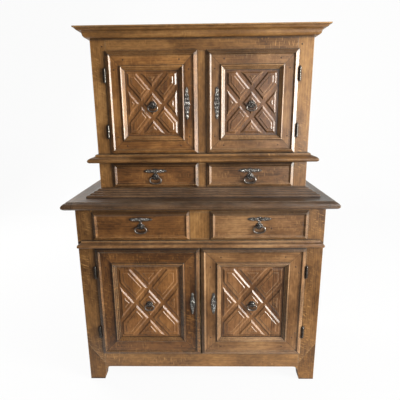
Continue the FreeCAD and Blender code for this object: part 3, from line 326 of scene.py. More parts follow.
woodTones = {
    "oak": {"dark": linear(66, 38, 15), "mid": linear(124, 80, 38), "pale": linear(176, 124, 66),
            "worn": linear(214, 178, 126), "rough": 0.38, "coat": 0.35, "dust": 0.1, "ledge": 0.7,
            "rays": 0.4},
    "sheenOak": {"dark": linear(68, 43, 23), "mid": linear(127, 88, 52), "pale": linear(178, 134, 86),
                "worn": linear(216, 186, 142), "rough": 0.38, "coat": 0.35, "dust": 0.12, "ledge": 0.7,
                "rays": 0.4},
    "postOak": {"dark": linear(80, 50, 22), "mid": linear(136, 94, 49), "pale": linear(182, 134, 78),
                "worn": linear(200, 162, 114), "rough": 0.42, "coat": 0.3, "dust": 0.1, "ledge": 0.4,
                "rays": 0.7},
    "panelOak": {"dark": linear(70, 40, 17), "mid": linear(128, 82, 40), "pale": linear(176, 122, 66),
                 "worn": linear(204, 162, 112), "rough": 0.36, "coat": 0.8, "dust": 0.06, "ledge": 0.2,
                 "rays": 0.25},
    "sheenPanel": {"dark": linear(70, 42, 22), "mid": linear(127, 85, 50), "pale": linear(174, 126, 80),
                  "worn": linear(206, 170, 124), "rough": 0.36, "coat": 0.8, "dust": 0.08, "ledge": 0.2,
                  "rays": 0.25},
    "darkOak": {"dark": linear(46, 30, 17), "mid": linear(92, 64, 40), "pale": linear(138, 104, 72),
                "worn": linear(192, 162, 128), "rough": 0.4, "coat": 0.3, "dust": 0.3, "ledge": 0.4,
                "rays": 0.2},
    "footOak": {"dark": linear(78, 48, 18), "mid": linear(126, 84, 38), "pale": linear(162, 116, 60),
                "worn": linear(184, 146, 100), "rough": 0.5, "coat": 0.1, "dust": 0.1, "ledge": 0.3,
                "rays": 0.6},
    "innerWood": {"dark": linear(92, 62, 36), "mid": linear(138, 100, 62), "pale": linear(168, 130, 88),
                  "worn": linear(176, 142, 104), "rough": 0.66, "coat": 0.0, "dust": 0.3, "ledge": 0.1,
                  "rays": 0.2},
}
woodFinish = {
    "seamHalf": (0.0006, 0.0019), "jump": 0.13, "drift": 40.0, "lift": 0.06, "coatRough": 0.23,
    # the first dark tone below is laid as painted shade in recesses, on up-facing ledges and along upper
    # borders, and darkens joint lines and worm holes
    "shadeAndGap": linear(30, 18, 10), "pore": linear(44, 25, 13), "dust": linear(142, 126, 110),
    "stops": {"dark": 0.14, "mid": 0.5, "pale": 0.86}, "smoke": (0.026, 0.018),
    "stain": {"stretch": 0.5, "scale": 8.0, "detail": 3.0, "rough": 0.55, "range": (0.3, 0.7)},
    "mottle": {"stretch": 0.45, "scale": 80.0, "detail": 4.0, "rough": 0.6, "range": (0.3, 0.7)},
    "scars": {"stretch": 0.6, "scale": 40.0, "detail": 5.0, "rough": 0.65, "range": (0.62, 0.72)},
    "level": {"Streaks": 0.1, "Fibres": 0.32, "Rings": -0.1, "stain": 0.32, "mottle": 0.18, "board": 0.16},
    "shares": {"Pores": 0.5, "scars": 0.35, "rubbed": 0.65, "Recess": 0.92, "smoke": 0.55, "gaps": 0.9},
    "dull": {"unevenStain": 0.14, "Pores": 0.12, "Recess": 0.2, "Dust": 0.12},
    "height": {"Fibres": 0.5, "Pores": -0.8, "Streaks": 0.5, "seam": -2.0, "Holes": -2.0},
    "bump": {"strength": 0.35, "distance": 0.0006},
}


def along(tree, point, axis):
    # turns the point so that the chosen axis becomes Z
    order = {"x": (1, 2, 0), "y": (2, 0, 1), "z": (0, 1, 2)}[axis]
    parts = splitVector(tree, point)
    return joinVector(tree, *(parts[number] for number in order))


def cellIndex(tree, coordinate, start, step):
    return calc(tree, "FLOOR", calc(tree, "DIVIDE", calc(tree, "SUBTRACT", coordinate, start), step))


def seamLine(tree, distance):
    return remap(tree, calc(tree, "ABSOLUTE", distance), *woodFinish["seamHalf"], 1.0, 0.0)


def nearerEnd(tree, coordinate, low, high):
    fromLow, fromHigh = calc(tree, "SUBTRACT", coordinate, low), calc(tree, "SUBTRACT", high, coordinate)
    return calc(tree, "MINIMUM", fromLow, fromHigh)


def layBoards(tree, point, layout):
    # gives the grain vector, an index for each board and a mask of the joint lines between boards
    x, y, z = parts = splitVector(tree, point)
    index = addNode(tree, "ShaderNodeCombineXYZ")
    seams = []
    kind = layout["kind"]
    if kind in "xyz":
        vector = along(tree, point, kind)
        for number, (start, step) in enumerate(layout.get("cells", ())):
            if step:
                feed(tree, index.inputs[number], cellIndex(tree, parts[number], start, step))
    elif kind == "mitredFrame":
        (x0, z0), (x1, z1) = layout["low"], layout["high"]
        difference = calc(tree, "SUBTRACT", nearerEnd(tree, z, z0, z1), nearerEnd(tree, x, x0, x1))
        stile = calc(tree, "GREATER_THAN", difference, 0.0)
        vector = blendVector(tree, stile, along(tree, point, "x"), along(tree, point, "z"))
        right = calc(tree, "GREATER_THAN", x, (x0 + x1) / 2)
        upper = calc(tree, "GREATER_THAN", z, (z0 + z1) / 2)
        feed(tree, index.inputs[0], calc(tree, "MULTIPLY", right, stile))
        feed(tree, index.inputs[1], calc(tree, "MULTIPLY", upper, inverse(tree, stile)))
        feed(tree, index.inputs[2], stile)
        seams.append(seamLine(tree, difference))
    else:
        middle, half, front = layout["middle"], layout["half"], layout["front"]
        sideways = calc(tree, "SUBTRACT", x, middle)
        beyond = calc(tree, "SUBTRACT", calc(tree, "ABSOLUTE", sideways), half)
        difference = calc(tree, "SUBTRACT", calc(tree, "SUBTRACT", front, y), beyond)
        onFront = calc(tree, "GREATER_THAN", difference, 0.0)
        vector = blendVector(tree, onFront, along(tree, point, "y"), along(tree, point, "x"))
        right = calc(tree, "GREATER_THAN", sideways, 0.0)
        feed(tree, index.inputs[0], calc(tree, "MULTIPLY", right, inverse(tree, onFront)))
        feed(tree, index.inputs[1], onFront)
        seams.append(seamLine(tree, difference))
    for axis, place in layout.get("lines", ()):
        seams.append(seamLine(tree, calc(tree, "SUBTRACT", parts["xyz".index(axis)], place)))
    if "scarf" in layout:
        (x0, z0), (x1, z1) = layout["scarf"]
        length = math.hypot(x1 - x0, z1 - z0)
        out = calc(tree, "SUBTRACT", calc(tree, "ABSOLUTE", x), x0)
        up = calc(tree, "SUBTRACT", z, z0)
        seams.append(seamLine(tree, total(tree, (out, (z1 - z0) / length), (up, (x0 - x1) / length))))
    seam = seams[0] if seams else 0.0
    for other in seams[1:]:
        seam = calc(tree, "MAXIMUM", seam, other)
    return vector, index.outputs[0], seam


def woodMaterial(name, tone, layout, seed, lift):
    look, finish = woodTones[tone], woodFinish
    material, tree, shader = newMaterial(name)
    point = objectPoint(tree)
    vector, index, seam = layBoards(tree, point, layout)
    scatter = addNode(tree, "ShaderNodeTexWhiteNoise", noise_dimensions="4D")
    feed(tree, scatter.inputs["Vector"], index)
    feed(tree, scatter.inputs["W"], float(seed))
    chance = scatter.outputs["Value"]
    jump = addNode(tree, "ShaderNodeVectorMath", operation="SCALE")
    feed(tree, jump.inputs[0], scatter.outputs["Color"])
    feed(tree, jump.inputs["Scale"], finish["jump"])
    drift = joinVector(tree, 0.0, 0.0, calc(tree, "MULTIPLY", chance, finish["drift"]))
    shifted = calcVector(tree, "ADD", calcVector(tree, "ADD", vector, jump.outputs[0]), drift)

    masks = {key: pattern(tree, shifted, finish[key]) for key in ("stain", "mottle", "scars")}
    for group, place in ((woodGrain, shifted), (edgeWear, point), (shadeSootAndDust, point), (wormHoles, point)):
        masks.update((socket.name, socket) for socket in placeGroup(tree, group, Vector=place))
    masks["seam"] = seam
    masks["board"] = calc(tree, "SUBTRACT", chance, 0.5)
    masks["unevenStain"] = calc(tree, "SUBTRACT", masks["stain"], 0.5)
    masks["rubbed"] = calc(tree, "MULTIPLY", masks["Wear"], inverse(tree, masks["Recess"]))
    masks["gaps"] = calc(tree, "MAXIMUM", seam, masks["Holes"])
    if "top" in layout:  # painted shadow along the upper border, where the overhang above shades it
        edges = (layout["top"] - drop for drop in finish["smoke"])
        masks["smoke"] = remap(tree, splitVector(tree, point)[2], *edges)

    ramp = addNode(tree, "ShaderNodeValToRGB")
    feed(tree, ramp.inputs[0], total(tree, *weighed(masks, finish["level"]), lift + finish["lift"]))
    stops = ramp.color_ramp.elements
    for number, key in enumerate(("dark", "pale")):
        stops[number].position, stops[number].color = finish["stops"][key], look[key]
    stops.new(finish["stops"]["mid"]).color = look["mid"]
    color = ramp.outputs[0]
    shares = {"Flecks": look["rays"], "LedgeShade": look["ledge"], "Dust": look["dust"], **finish["shares"]}
    # the recess, ledge and upper-border layers lay painted shade in the dark tone; the gaps layer darkens
    # joints and worm holes
    for key, layer in (("Flecks", look["pale"]), ("Pores", finish["pore"]), ("scars", look["dark"]),
                       ("rubbed", look["worn"]), ("LedgeShade", finish["shadeAndGap"]), ("Recess", finish["shadeAndGap"]),
                       ("smoke", finish["shadeAndGap"]), ("Dust", finish["dust"]), ("gaps", finish["shadeAndGap"])):
        if key in masks:
            color = cover(tree, color, masks[key], shares[key], layer)
    feed(tree, shader.inputs["Base Color"], color)
    feed(tree, shader.inputs["Roughness"], total(tree, look["rough"], *weighed(masks, finish["dull"])))
    shader.inputs["Coat Weight"].default_value = look["coat"]
    shader.inputs["Coat Roughness"].default_value = finish["coatRough"]
    addBump(tree, shader, finish["bump"], total(tree, *weighed(masks, finish["height"])), masks["Normal"])
    return material


def roundFront(body):
    # layout of a moulding that is mitred round the front and both sides
    low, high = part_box(f"{body}_posts")
    middle, half = (low.x + high.x) / 2, (high.x - low.x) / 2
    return {"kind": "mitredRound", "middle": middle, "half": half, "front": low.y}


def frameOf(node):
    low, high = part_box(node)
    return {"kind": "mitredFrame", "low": (low.x, low.z), "high": (high.x, high.z), "top": high.z}


def stacked(node, axis, boards, grain):
    # boards laid edge to edge along one axis
    low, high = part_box(node)
    number = "xyz".index(axis)
    cells = [(0, 0), (0, 0), (0, 0)]
    cells[number] = (low[number], (high[number] - low[number]) / boards)
    return {"kind": grain, "cells": cells}


def endLines(node, axis):
    # joint lines where the ends of a piece meet its neighbours
    return [(axis, corner["xyz".index(axis)]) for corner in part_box(node)]


# cells are (start, step) along X, Y and Z, and each is a board with its own grain; a step of 0 means none
pairCells = ((0.0, 10.0), (0.1, 10.0), (0, 0))
levelCells = ((0, 0), (0, 0), (0.0, 0.3))
scarf = ((0.625, 0.228), (0.536, 0.103))  # outer and inner ends of the splice above each front foot
panelJoint = 0.378  # edge joint in the panel of the lower right door
woodLayouts = {
    "posts": ("postOak", {"kind": "z", "cells": pairCells}),
    "spliced_feet": ("footOak", {"kind": "z", "cells": pairCells, "scarf": scarf}),
    "front_rails": ("postOak", {"kind": "x", "cells": levelCells}),
    "dividers": ("postOak", {"kind": "z", "cells": ((0, 0), (0, 0), (1.2, 10.0))}),
    "apron": ("postOak", {"kind": "x"}),
    "side_rails": ("postOak", {"kind": "y", "cells": ((0.0, 10.0), (0, 0), (0.0, 0.6))}),
    "side_panels": ("panelOak", {"kind": "z", "cells": ((0.0, 10.0), (-0.2, 0.19), (0, 0))}),
    "drawer_front": ("oak", {"kind": "x"}),
    "door_panel": ("panelOak", {"kind": "z"}),
    "lower_waist_moulding": ("oak", {"kind": "x"}),
    "table_top": ("darkOak", {"kind": "x", "cells": ((0, 0), (-0.326, 0.22), (0, 0))}),
    "shelf": ("innerWood", {"kind": "x", "cells": ((0, 0), (-0.3, 0.2), (0, 0))}),
    "top_boards": ("innerWood", {"kind": "x", "cells": ((0, 0), (-0.3, 0.17), (0, 0))}),
    "bearers": ("innerWood", {"kind": "y", "cells": ((0.0, 0.2), (0, 0), (0.0, 0.2))}),
    "drawer_box": ("innerWood", {"kind": "y", "cells": ((0.0, 0.12), (0, 0), (0, 0))}),
}
woodLifts = {
    "upper_posts": 0.04, "lower_posts": -0.18, "lower_spliced_feet": -0.18, "lower_left_door_frame": -0.2,
    "lower_right_door_frame": -0.02, "upper_left_drawer_front": -0.14, "lower_left_drawer_front": -0.04,
    "lower_right_drawer_front": -0.06, "upper_right_drawer_front": -0.02, "lower_dividers": 0.12,
    "lower_apron": -0.12, "upper_cornice": 0.1, "upper_front_rails": -0.05, "upper_waist_moulding": -0.08,
    "lower_left_door_panel": -0.07, "lower_right_door_panel": -0.08, "upper_left_door_panel": -0.06,
}
# painted sheen: the right-hand door frames, panels, drawer fronts and the lower waist moulding take paler,
# greyer copies of the oak tones, standing in for the window's reflection on that side
sheenSide = dict.fromkeys(("lower_right_door_frame", "upper_right_door_frame", "lower_right_drawer_front",
                          "upper_right_drawer_front", "lower_waist_moulding"), "sheenOak")
sheenSide.update(dict.fromkeys(("lower_right_door_panel", "upper_right_door_panel"), "sheenPanel"))
endedPieces = {"front_rails": "x", "apron": "x", "side_rails": "y", "dividers": "z"}
boardCount = 4
seeds = {"first": 10, "step": 7}


def layoutOf(name):
    # tone and board layout of a wooden node, or nothing for iron
    found = [key for key in woodLayouts if name.endswith(key)]
    if "door_frame" in name:
        return "oak", frameOf(name)
    if "back_boards" in name or "floor_boards" in name:
        return "innerWood", stacked(name, "z" if "back" in name else "y", boardCount, "x")
    if found:
        tone, layout = woodLayouts[found[0]]
        layout = dict(layout)
        if found[0] in endedPieces:
            layout["lines"] = endLines(name, endedPieces[found[0]])
        if "drawer_front" in name:
            layout["top"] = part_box(name)[1].z
        if name == "table_top":
            layout["lines"] = endLines("lower_posts", "x")
        if name == "lower_right_door_panel":
            layout["lines"] = [("x", panelJoint)]
            layout["cells"] = ((panelJoint, 10.0), (0, 0), (0, 0))
        return tone, layout
    if "moulding" in name or "cornice" in name:
        return "darkOak" if "base" in name else "postOak", roundFront(name.split("_")[0])
    return None


def dressWood():
    for number, (name, node) in enumerate(sorted(nodes.items())):
        chosen = layoutOf(name)
        if chosen:
            tone, layout = sheenSide.get(name, chosen[0]), chosen[1]
            seed, lift = seeds["first"] + number * seeds["step"], woodLifts.get(name, 0.0)
            node.data.materials.clear()
            node.data.materials.append(woodMaterial(name + "_wood", tone, layout, seed, lift))


dressWood()
print("wood dressed")


# iron: forged skin with rust in the hollows and bright rubbed edges, and painted glints as bright specks

ironLooks = {
    "forgedIron": {"skin": linear(70, 64, 58), "rust": linear(58, 42, 31), "bright": linear(214, 208, 200),
                   "rough": 0.34, "rub": 0.8},
    "rubbedIron": {"skin": linear(116, 109, 102), "rust": linear(84, 64, 50), "bright": linear(232, 228, 221),
                   "rough": 0.28, "rub": 0.85},
}
ironFinish = {
    "wear": {"Radius": 0.0012, "Softness": 0.0006, "Patchiness": 0.4}, "reach": 0.002,
    "soot": linear(20, 16, 13), "metal": 0.92, "rustMetal": -0.45, "rustRough": 0.25, "rubRough": -0.12,
    "shares": {"rust": 0.6, "paintedGlints": 0.45, "soot": 0.7},
    "hammer": {"scale": 210.0, "detail": 2.0, "rough": 0.55},
    "patches": {"scale": 95.0, "detail": 5.0, "rough": 0.65, "range": (0.5, 0.68)},
    "paintedGlints": {"scale": 330.0, "detail": 2.0, "rough": 0.55, "range": (0.58, 0.66)},
    "bump": {"strength": 0.5, "distance": 0.0008},
}


def ironMaterial(name):
    look, finish = ironLooks[name], ironFinish
    material, tree, shader = newMaterial(name)
    point = objectPoint(tree)
    wear = placeGroup(tree, edgeWear, Vector=point, **finish["wear"])
    grime = placeGroup(tree, shadeSootAndDust, Vector=point, Reach=finish["reach"])
    patches, paintedGlints = (pattern(tree, point, finish[key]) for key in ("patches", "paintedGlints"))
    color, shares = look["skin"], finish["shares"]
    for mask, share, layer in ((patches, shares["rust"], look["rust"]),
                               (wear["Wear"], look["rub"], look["bright"]),
                               # painted glints: small bright specks in the bare-metal colour
                               (paintedGlints, shares["paintedGlints"], look["bright"]),
                               (grime["Recess"], shares["soot"], finish["soot"])):
        color = cover(tree, color, mask, share, layer)
    feed(tree, shader.inputs["Base Color"], color)
    feed(tree, shader.inputs["Metallic"], total(tree, finish["metal"], (patches, finish["rustMetal"])))
    dull = total(tree, look["rough"], (patches, finish["rustRough"]), (wear["Wear"], finish["rubRough"]))
    feed(tree, shader.inputs["Roughness"], dull)
    addBump(tree, shader, finish["bump"], pattern(tree, point, finish["hammer"]), wear["Normal"])
    return material


forgedIron = ironMaterial("forgedIron")
rubbedIron = ironMaterial("rubbedIron")
for name, node in nodes.items():
    for endings, material in ((("ironwork", "hinge_pins"), forgedIron), (("ring", "bail"), rubbedIron)):
        if name.endswith(endings):
            node.data.materials.clear()
            node.data.materials.append(material)
print("iron dressed")


# surfaces worked out as grids of points

weldDistance = 1e-6
cuts = {"bead": (7, 12), "scroll": (22, 8), "pull": (72, 12), "rosette": (26, 96), "swell": 7, "cove": 6,
        "sweep": 24}


def fullTurn(count):
    return np.linspace(0, 2 * np.pi, count, endpoint=False)


def makePiece(name, grids, material, body):
    # each grid is (points by row and column, rows closed, columns closed); all become one mesh, poles welded
    points, faces, start = [], [], 0
    for grid, closeRows, closeColumns in grids:
        rows, columns = grid.shape[:2]
        index = np.arange(rows * columns).reshape(rows, columns) + start
        if closeRows:
            index = np.concatenate((index, index[:1]), 0)
        if closeColumns:
            index = np.concatenate((index, index[:, :1]), 1)
        corners = (index[:-1, :-1], index[1:, :-1], index[1:, 1:], index[:-1, 1:])
        faces.append(np.stack(corners, -1).reshape(-1, 4))
        points.append(grid.reshape(-1, 3))
        start += rows * columns
    mesh = bpy.data.meshes.new(name)
    mesh.from_pydata(np.concatenate(points).tolist(), [], np.concatenate(faces).tolist())
    shape = bmesh.new()
    shape.from_mesh(mesh)
    bmesh.ops.remove_doubles(shape, verts=shape.verts, dist=weldDistance)
    bmesh.ops.recalc_face_normals(shape, faces=shape.faces)
    shape.to_mesh(mesh)
    shape.free()
    mesh.shade_smooth()
    mesh.materials.append(material)
    piece = bpy.data.objects.new(name, mesh)
    scene.collection.objects.link(piece)
    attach(piece, body)
    return piece


def bead(centre, across, tall, deep):
    # flattened ball: latitude and longitude scaled along each axis
    rise = np.linspace(-np.pi / 2, np.pi / 2, cuts["bead"][0])[:, None]
    turn = fullTurn(cuts["bead"][1])[None, :]
    x = centre[0] + across * np.cos(rise) * np.cos(turn)
    y = centre[1] + deep * np.sin(rise) + 0 * turn
    z = centre[2] + tall * np.cos(rise) * np.sin(turn)
    return np.stack((x, y, z), -1), False, True


def scroll(centre, across, tall, wire):
    # oval of wire round a point: a circle of the wire's radius carried round an ellipse in the XZ plane
    turn = fullTurn(cuts["scroll"][0])[:, None]
    roll = fullTurn(cuts["scroll"][1])[None, :]
    x = centre[0] + (across + wire * np.cos(roll)) * np.cos(turn)
    y = centre[1] + wire * np.sin(roll) + 0 * turn
    z = centre[2] + (tall + wire * np.cos(roll)) * np.sin(turn)
    return np.stack((x, y, z), -1), True, True


# pulls: ovals of round wire, thicker at the foot

pullShapes = {
    "ring": {"side": 0.013, "spread": 0.011, "depth": 0.020, "wire": 0.003, "body": "door_pull"},
    "bail": {"side": 0.014, "spread": 0.015, "depth": 0.030, "wire": 0.003, "body": "drawer_pull"},
}
pullSwell = {"mean": 0.94, "foot": 0.14}


def pullGrid(shape, centre):
    # each point lies at its arc's radius from its arc's centre, along the normal; the wire swells downwards
    side, spread, depth = shape["side"], shape["spread"], shape["depth"]
    reach = math.hypot(spread, depth)
    normal = fullTurn(cuts["pull"][0])
    east, north = np.cos(normal), np.sin(normal)
    flank = np.abs(north) < depth / reach
    x = np.where(flank, spread * np.sign(east) + side * east, (side + reach) * east)
    z = np.where(flank, side * north, (side + reach) * north - depth * np.sign(north))
    wire = shape["wire"] * (pullSwell["mean"] - pullSwell["foot"] * north)
    roll = fullTurn(cuts["pull"][1])[None, :]
    thick = wire[:, None] * np.cos(roll)
    points = np.stack((centre.x + x[:, None] + thick * east[:, None], centre.y + wire[:, None] * np.sin(roll),
                       centre.z + z[:, None] + thick * north[:, None]), -1)
    return points, True, True


def hangPulls():
    for name in sorted(nodes):
        kind = name.split("_")[-1]
        if kind in pullShapes:
            low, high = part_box(name)
            body = "_".join(name.split("_")[:2] + [pullShapes[kind]["body"]])
            grid = pullGrid(pullShapes[kind], (low + high) / 2)
            piece = makePiece(name + "_wire", [grid], rubbedIron, body)
            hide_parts(name)


hangPulls()
print("pulls hung")


# rosettes, key plates and drawer plates: chased relief over the flat ironwork

rosette = {"petals": 8, "door": 0.0184, "drawer": 0.0174, "doorStand": 0.006, "drawerStand": 0.007,
           "doorDrop": 0.006, "petalRise": 0.0022, "crown": 0.0013, "boss": 0.45, "bossRise": 0.0039,
           "dome": 0.0008, "notch": 0.12, "roundness": 0.7, "steepness": 1.1, "flat": 0.25, "rim": 0.8}
doorPlates = {"lower": {"tall": 0.062, "wide": 0.0135, "inset": {"left": 0.040, "right": 0.065}},
              "upper": {"tall": 0.078, "wide": 0.0125, "inset": {"left": 0.0515, "right": 0.0515}}}
plateStand = {"door": 0.007, "drawer": 0.007, "thick": 0.002, "wire": 0.0014}
# places and curls on a door plate are shares of its half height and half width; beads are across, tall, deep
doorRelief = {"spine": ((-0.76, 0.2), (-0.52, 0.3), (-0.27, 0.42), (0.27, 0.42), (0.52, 0.3), (0.76, 0.2)),
              "curl": (0.72, 0.09), "tip": 0.93, "tipBead": (0.0018, 0.005, 0.0014),
              "bead": (0.0016, 0.0045, 0.0016), "waist": 0.62, "waistCurl": (0.3, 0.13),
              "keyhole": (0.0042, 0.0095), "keyholeLift": 0.001}
drawerPlates = {"lower": {"lift": 0.034, "drop": 0.036}, "upper": {"lift": 0.021, "drop": 0.030}}
# curls are out, across and tall; links are drop and radius
drawerRelief = {"keyhole": (0.0055, 0.0092), "keyholeLift": 0.001, "bead": (0.0018, 0.0024, 0.0016),
                "curls": ((0.0145, 0.0042, 0.0055), (0.0265, 0.0055, 0.0078), (0.0385, 0.0042, 0.005)),
                "wing": 0.0505, "wingBead": (0.006, 0.0022, 0.0016),
                "links": ((0.0165, 0.0036), (0.0245, 0.0026)), "linkWire": 1.3}


def rosetteGrid(x, y, z, radius):
    # height over polar coordinates: petals domed between notches, then a low domed boss; closed behind
    look = rosette
    rows, columns = cuts["rosette"]
    share = np.concatenate((np.linspace(0, 1, rows), [1.0, 0.0]))[:, None]
    turn = fullTurn(columns)[None, :]
    lobe = np.abs(np.sin(turn * look["petals"] / 2)) ** look["roundness"]
    out = share * radius * (1 - look["notch"] + look["notch"] * lobe)
    outward = np.clip((share - look["boss"]) / (1 - look["boss"]), 0, 1)
    arch = np.sin(np.pi * np.clip(outward * look["steepness"], 0, 1))
    petal = look["petalRise"] + look["crown"] * arch * (look["flat"] + (1 - look["flat"]) * lobe)
    boss = look["bossRise"] + look["dome"] * np.cos(np.pi * np.clip(share / look["boss"], 0, 1) / 2)
    rise = np.where(share < look["boss"], boss, petal)
    rise[-3:] = np.array((look["rim"] * look["petalRise"], 0.0, 0.0))[:, None]
    return np.stack((x + out * np.cos(turn), y - rise, z + out * np.sin(turn)), -1), False, True


def doorPlateGrids(x, y, z, look):
    # a spine of beads with a pair of scrolls beside each, smaller towards the tips
    relief, tall, wide, wire = doorRelief, look["tall"], look["wide"], plateStand["wire"]
    grids = [bead((x, y, z + side * relief["tip"] * tall), *relief["tipBead"]) for side in (-1, 1)]
    curlWide, curlTall = relief["curl"]
    for place, size in relief["spine"]:
        level = z + place * tall
        grids.append(bead((x, y, level), *relief["bead"]))
        for side in (-1, 1):
            centre = (x + side * size * wide, y, level)
            grids.append(scroll(centre, curlWide * size * wide, curlTall * tall, wire))
    curlWide, curlTall = relief["waistCurl"]
    for side in (-1, 1):
        centre = (x + side * relief["waist"] * wide, y, z)
        grids.append(scroll(centre, curlWide * wide, curlTall * tall, wire))
    grids.append(scroll((x, y, z + relief["keyholeLift"]), *relief["keyhole"], wire))
    return grids


def drawerPlateGrids(x, y, z):
    # a ring round the keyhole, scrolls and beads out along each wing, and two links lower down on the wood
    relief, wire = drawerRelief, plateStand["wire"]
    grids = [scroll((x, y, z + relief["keyholeLift"]), *relief["keyhole"], wire)]
    for side in (-1, 1):
        for out, across, tall in relief["curls"]:
            grids.append(scroll((x + side * out, y, z), across, tall, wire))
            grids.append(bead((x + side * out, y, z), *relief["bead"]))
        grids.append(bead((x + side * relief["wing"], y, z), *relief["wingBead"]))
    for drop, size in relief["links"]:
        grids.append(scroll((x, y + plateStand["thick"], z - drop), size, size, relief["linkWire"] * wire))
    return grids


def chaseIronwork():
    for body in ("lower", "upper"):
        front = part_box(f"{body}_posts")[0].y
        for hand, side in (("left", 1), ("right", -1)):
            door, look = f"{body}_{hand}_door", doorPlates[body]
            low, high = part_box(door + "_frame")
            middle = (low + high) / 2
            centre = (middle.x, front - rosette["doorStand"], middle.z - rosette["doorDrop"])
            grids = [rosetteGrid(*centre, rosette["door"])]
            makePiece(door + "_rosette", grids, forgedIron, door)
            edge = high.x if side > 0 else low.x
            face = front - plateStand["door"] - plateStand["thick"]
            grids = doorPlateGrids(edge - side * look["inset"][hand], face, middle.z, look)
            makePiece(door + "_plate_relief", grids, rubbedIron, door)
            drawer = f"{body}_{hand}_drawer"
            low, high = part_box(drawer + "_front")
            middle = (low + high) / 2
            level = middle.z + drawerPlates[body]["lift"]
            centre = (middle.x, front - rosette["drawerStand"], level - drawerPlates[body]["drop"])
            grids = [rosetteGrid(*centre, rosette["drawer"])]
            makePiece(drawer + "_rosette", grids, forgedIron, drawer)
            face = front - plateStand["drawer"] - plateStand["thick"]
            grids = drawerPlateGrids(middle.x, face, level)
            makePiece(drawer + "_plate_relief", grids, rubbedIron, drawer)


chaseIronwork()
print("ironwork chased")


# door frames and drawer fronts: the photograph's mouldings carried round, in millimetres in from the edge and
# forward of the carcass: a two-step outer slope, a crest and a short inner bevel

borderRun = {
    "door": ((0, 0.5), (0, 4.6), (8.2, 8.3), (8.2, 9.1), (16.2, 12.6), (17.6, 12.6), (24.5, 7.0)),
    "drawer": ((0, 0.5), (0, 4.4), (6.6, 7.6), (6.6, 8.3), (12.8, 12.0), (14.0, 12.0), (23.5, 7.0)),
    "back": {"door": 16.0, "drawer": 15.0}, "rebate": 7.0, "lip": 0.5, "sharp": 20.0,
}
innerRun = {"frame": {"lower": 80.0, "upper": 66.0}, "wide": 24.0, "crest": 0.3, "quirk": 0.66, "rise": 14.0,
            "face": 7.0, "high": 8.5, "low": 6.96, "edge": 3.0, "sag": 0.5,
            "slot": {"top": -0.6, "bottom": -9.4, "deep": 9.4}}


def doorRun(body):
    # border, flat face, a quarter round up to the crest, a cove down to the quirk, a slope and the panel's
    # groove; the cove falls steeply at first and less later, as a parabola of the share of its width
    look, slot = innerRun, innerRun["slot"]
    start = look["frame"][body]
    crest, quirk, sight = (start + share * look["wide"] for share in (look["crest"], look["quirk"], 1.0))
    turn = np.linspace(0, np.pi / 2, cuts["swell"])
    swell = np.stack((start + (crest - start) * (1 - np.cos(turn)),
                      look["face"] + (look["rise"] - look["face"]) * np.sin(turn)), 1)
    share = np.linspace(0, 1, cuts["cove"])[1:]
    fall = (1 + look["sag"]) * share - look["sag"] * share ** 2
    cove = np.stack((crest + (quirk - crest) * share, look["rise"] - (look["rise"] - look["high"]) * fall), 1)
    back, rebate, inner = borderRun["back"]["door"], borderRun["rebate"], sight - slot["deep"]
    tail = ((quirk, look["low"]), (sight, look["edge"]), (sight, slot["top"]), (inner, slot["top"]),
            (inner, slot["bottom"]), (sight, slot["bottom"]), (sight, -back), (rebate, -back),
            (rebate, borderRun["lip"]))
    return np.concatenate((borderRun["door"], swell, cove, tail))


def drawerRun():
    back, rebate = borderRun["back"]["drawer"], borderRun["rebate"]
    return np.concatenate((((rebate, -back), (rebate, borderRun["lip"])), borderRun["drawer"]))


def carryRound(node, run, back):
    # a section carried round the node's rectangle with mitred corners: each point goes in by its first number
    # on both sides of a corner, and forward by its second
    low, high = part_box(node)
    corners = np.array(((low.x, low.z, 1, 1), (high.x, low.z, -1, 1), (high.x, high.z, -1, -1),
                        (low.x, high.z, 1, -1)))
    inward, forward = millimetre * run[:, 0], millimetre * run[:, 1]
    x = corners[:, None, 0] + corners[:, None, 2] * inward
    z = corners[:, None, 1] + corners[:, None, 3] * inward
    y = np.broadcast_to(high.y - millimetre * back - forward, x.shape)
    return np.stack((x, y, z), -1)


def runMouldings():
    for body in ("lower", "upper"):
        for hand in ("left", "right"):
            door, drawer = f"{body}_{hand}_door", f"{body}_{hand}_drawer"
            frameGrid = carryRound(door + "_frame", doorRun(body), borderRun["back"]["door"])
            frontGrid = carryRound(drawer + "_front", drawerRun(), borderRun["back"]["drawer"])
            field, inner = (frontGrid[[0, 1, 3, 2], end].reshape(2, 2, 3) for end in (-1, 0))
            frontGrids = [(frontGrid, True, False), (field, False, False), (inner, False, False)]
            for node, owner, grids in ((door + "_frame", door, [(frameGrid, True, True)]),
                                       (drawer + "_front", drawer, frontGrids)):
                piece = makePiece(node + "_moulded", grids, nodes[node].data.materials[0], owner)
                piece.data.set_sharp_from_angle(angle=math.radians(borderRun["sharp"]))
                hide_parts(node)


runMouldings()
print("mouldings run")


# pegs: riven pins through the joints, their ends a little proud of the wood; places are shares of the frame

pegs = {"radius": 0.0042, "oval": 0.92, "proud": 0.0005, "stand": 0.007, "post": 0.017,
        "frame": {"lower": 0.080, "upper": 0.066}, "places": ((0.62, 1.3), (1.3, 0.62)),
        "drops": {"lower": (0.011,), "upper": (0.022, 0.064)}}
nails = {"radius": 0.003, "proud": 0.0012, "in": 0.033, "level": (0.296, 0.650)}  # by the lower right hinges
knot = {"radius": 0.0055, "oval": 0.8, "proud": 0.0006, "out": 0.062, "drop": 0.017}  # in the drawer there
pegLook = {"dark": linear(38, 22, 12), "pale": linear(84, 54, 30), "rough": 0.45, "uneven": 0.2,
           "rings": {"scale": 650.0, "detail": 3.0, "rough": 0.55}, "range": (0.35, 0.65),
           "bump": {"strength": 0.4, "distance": 0.0004}}


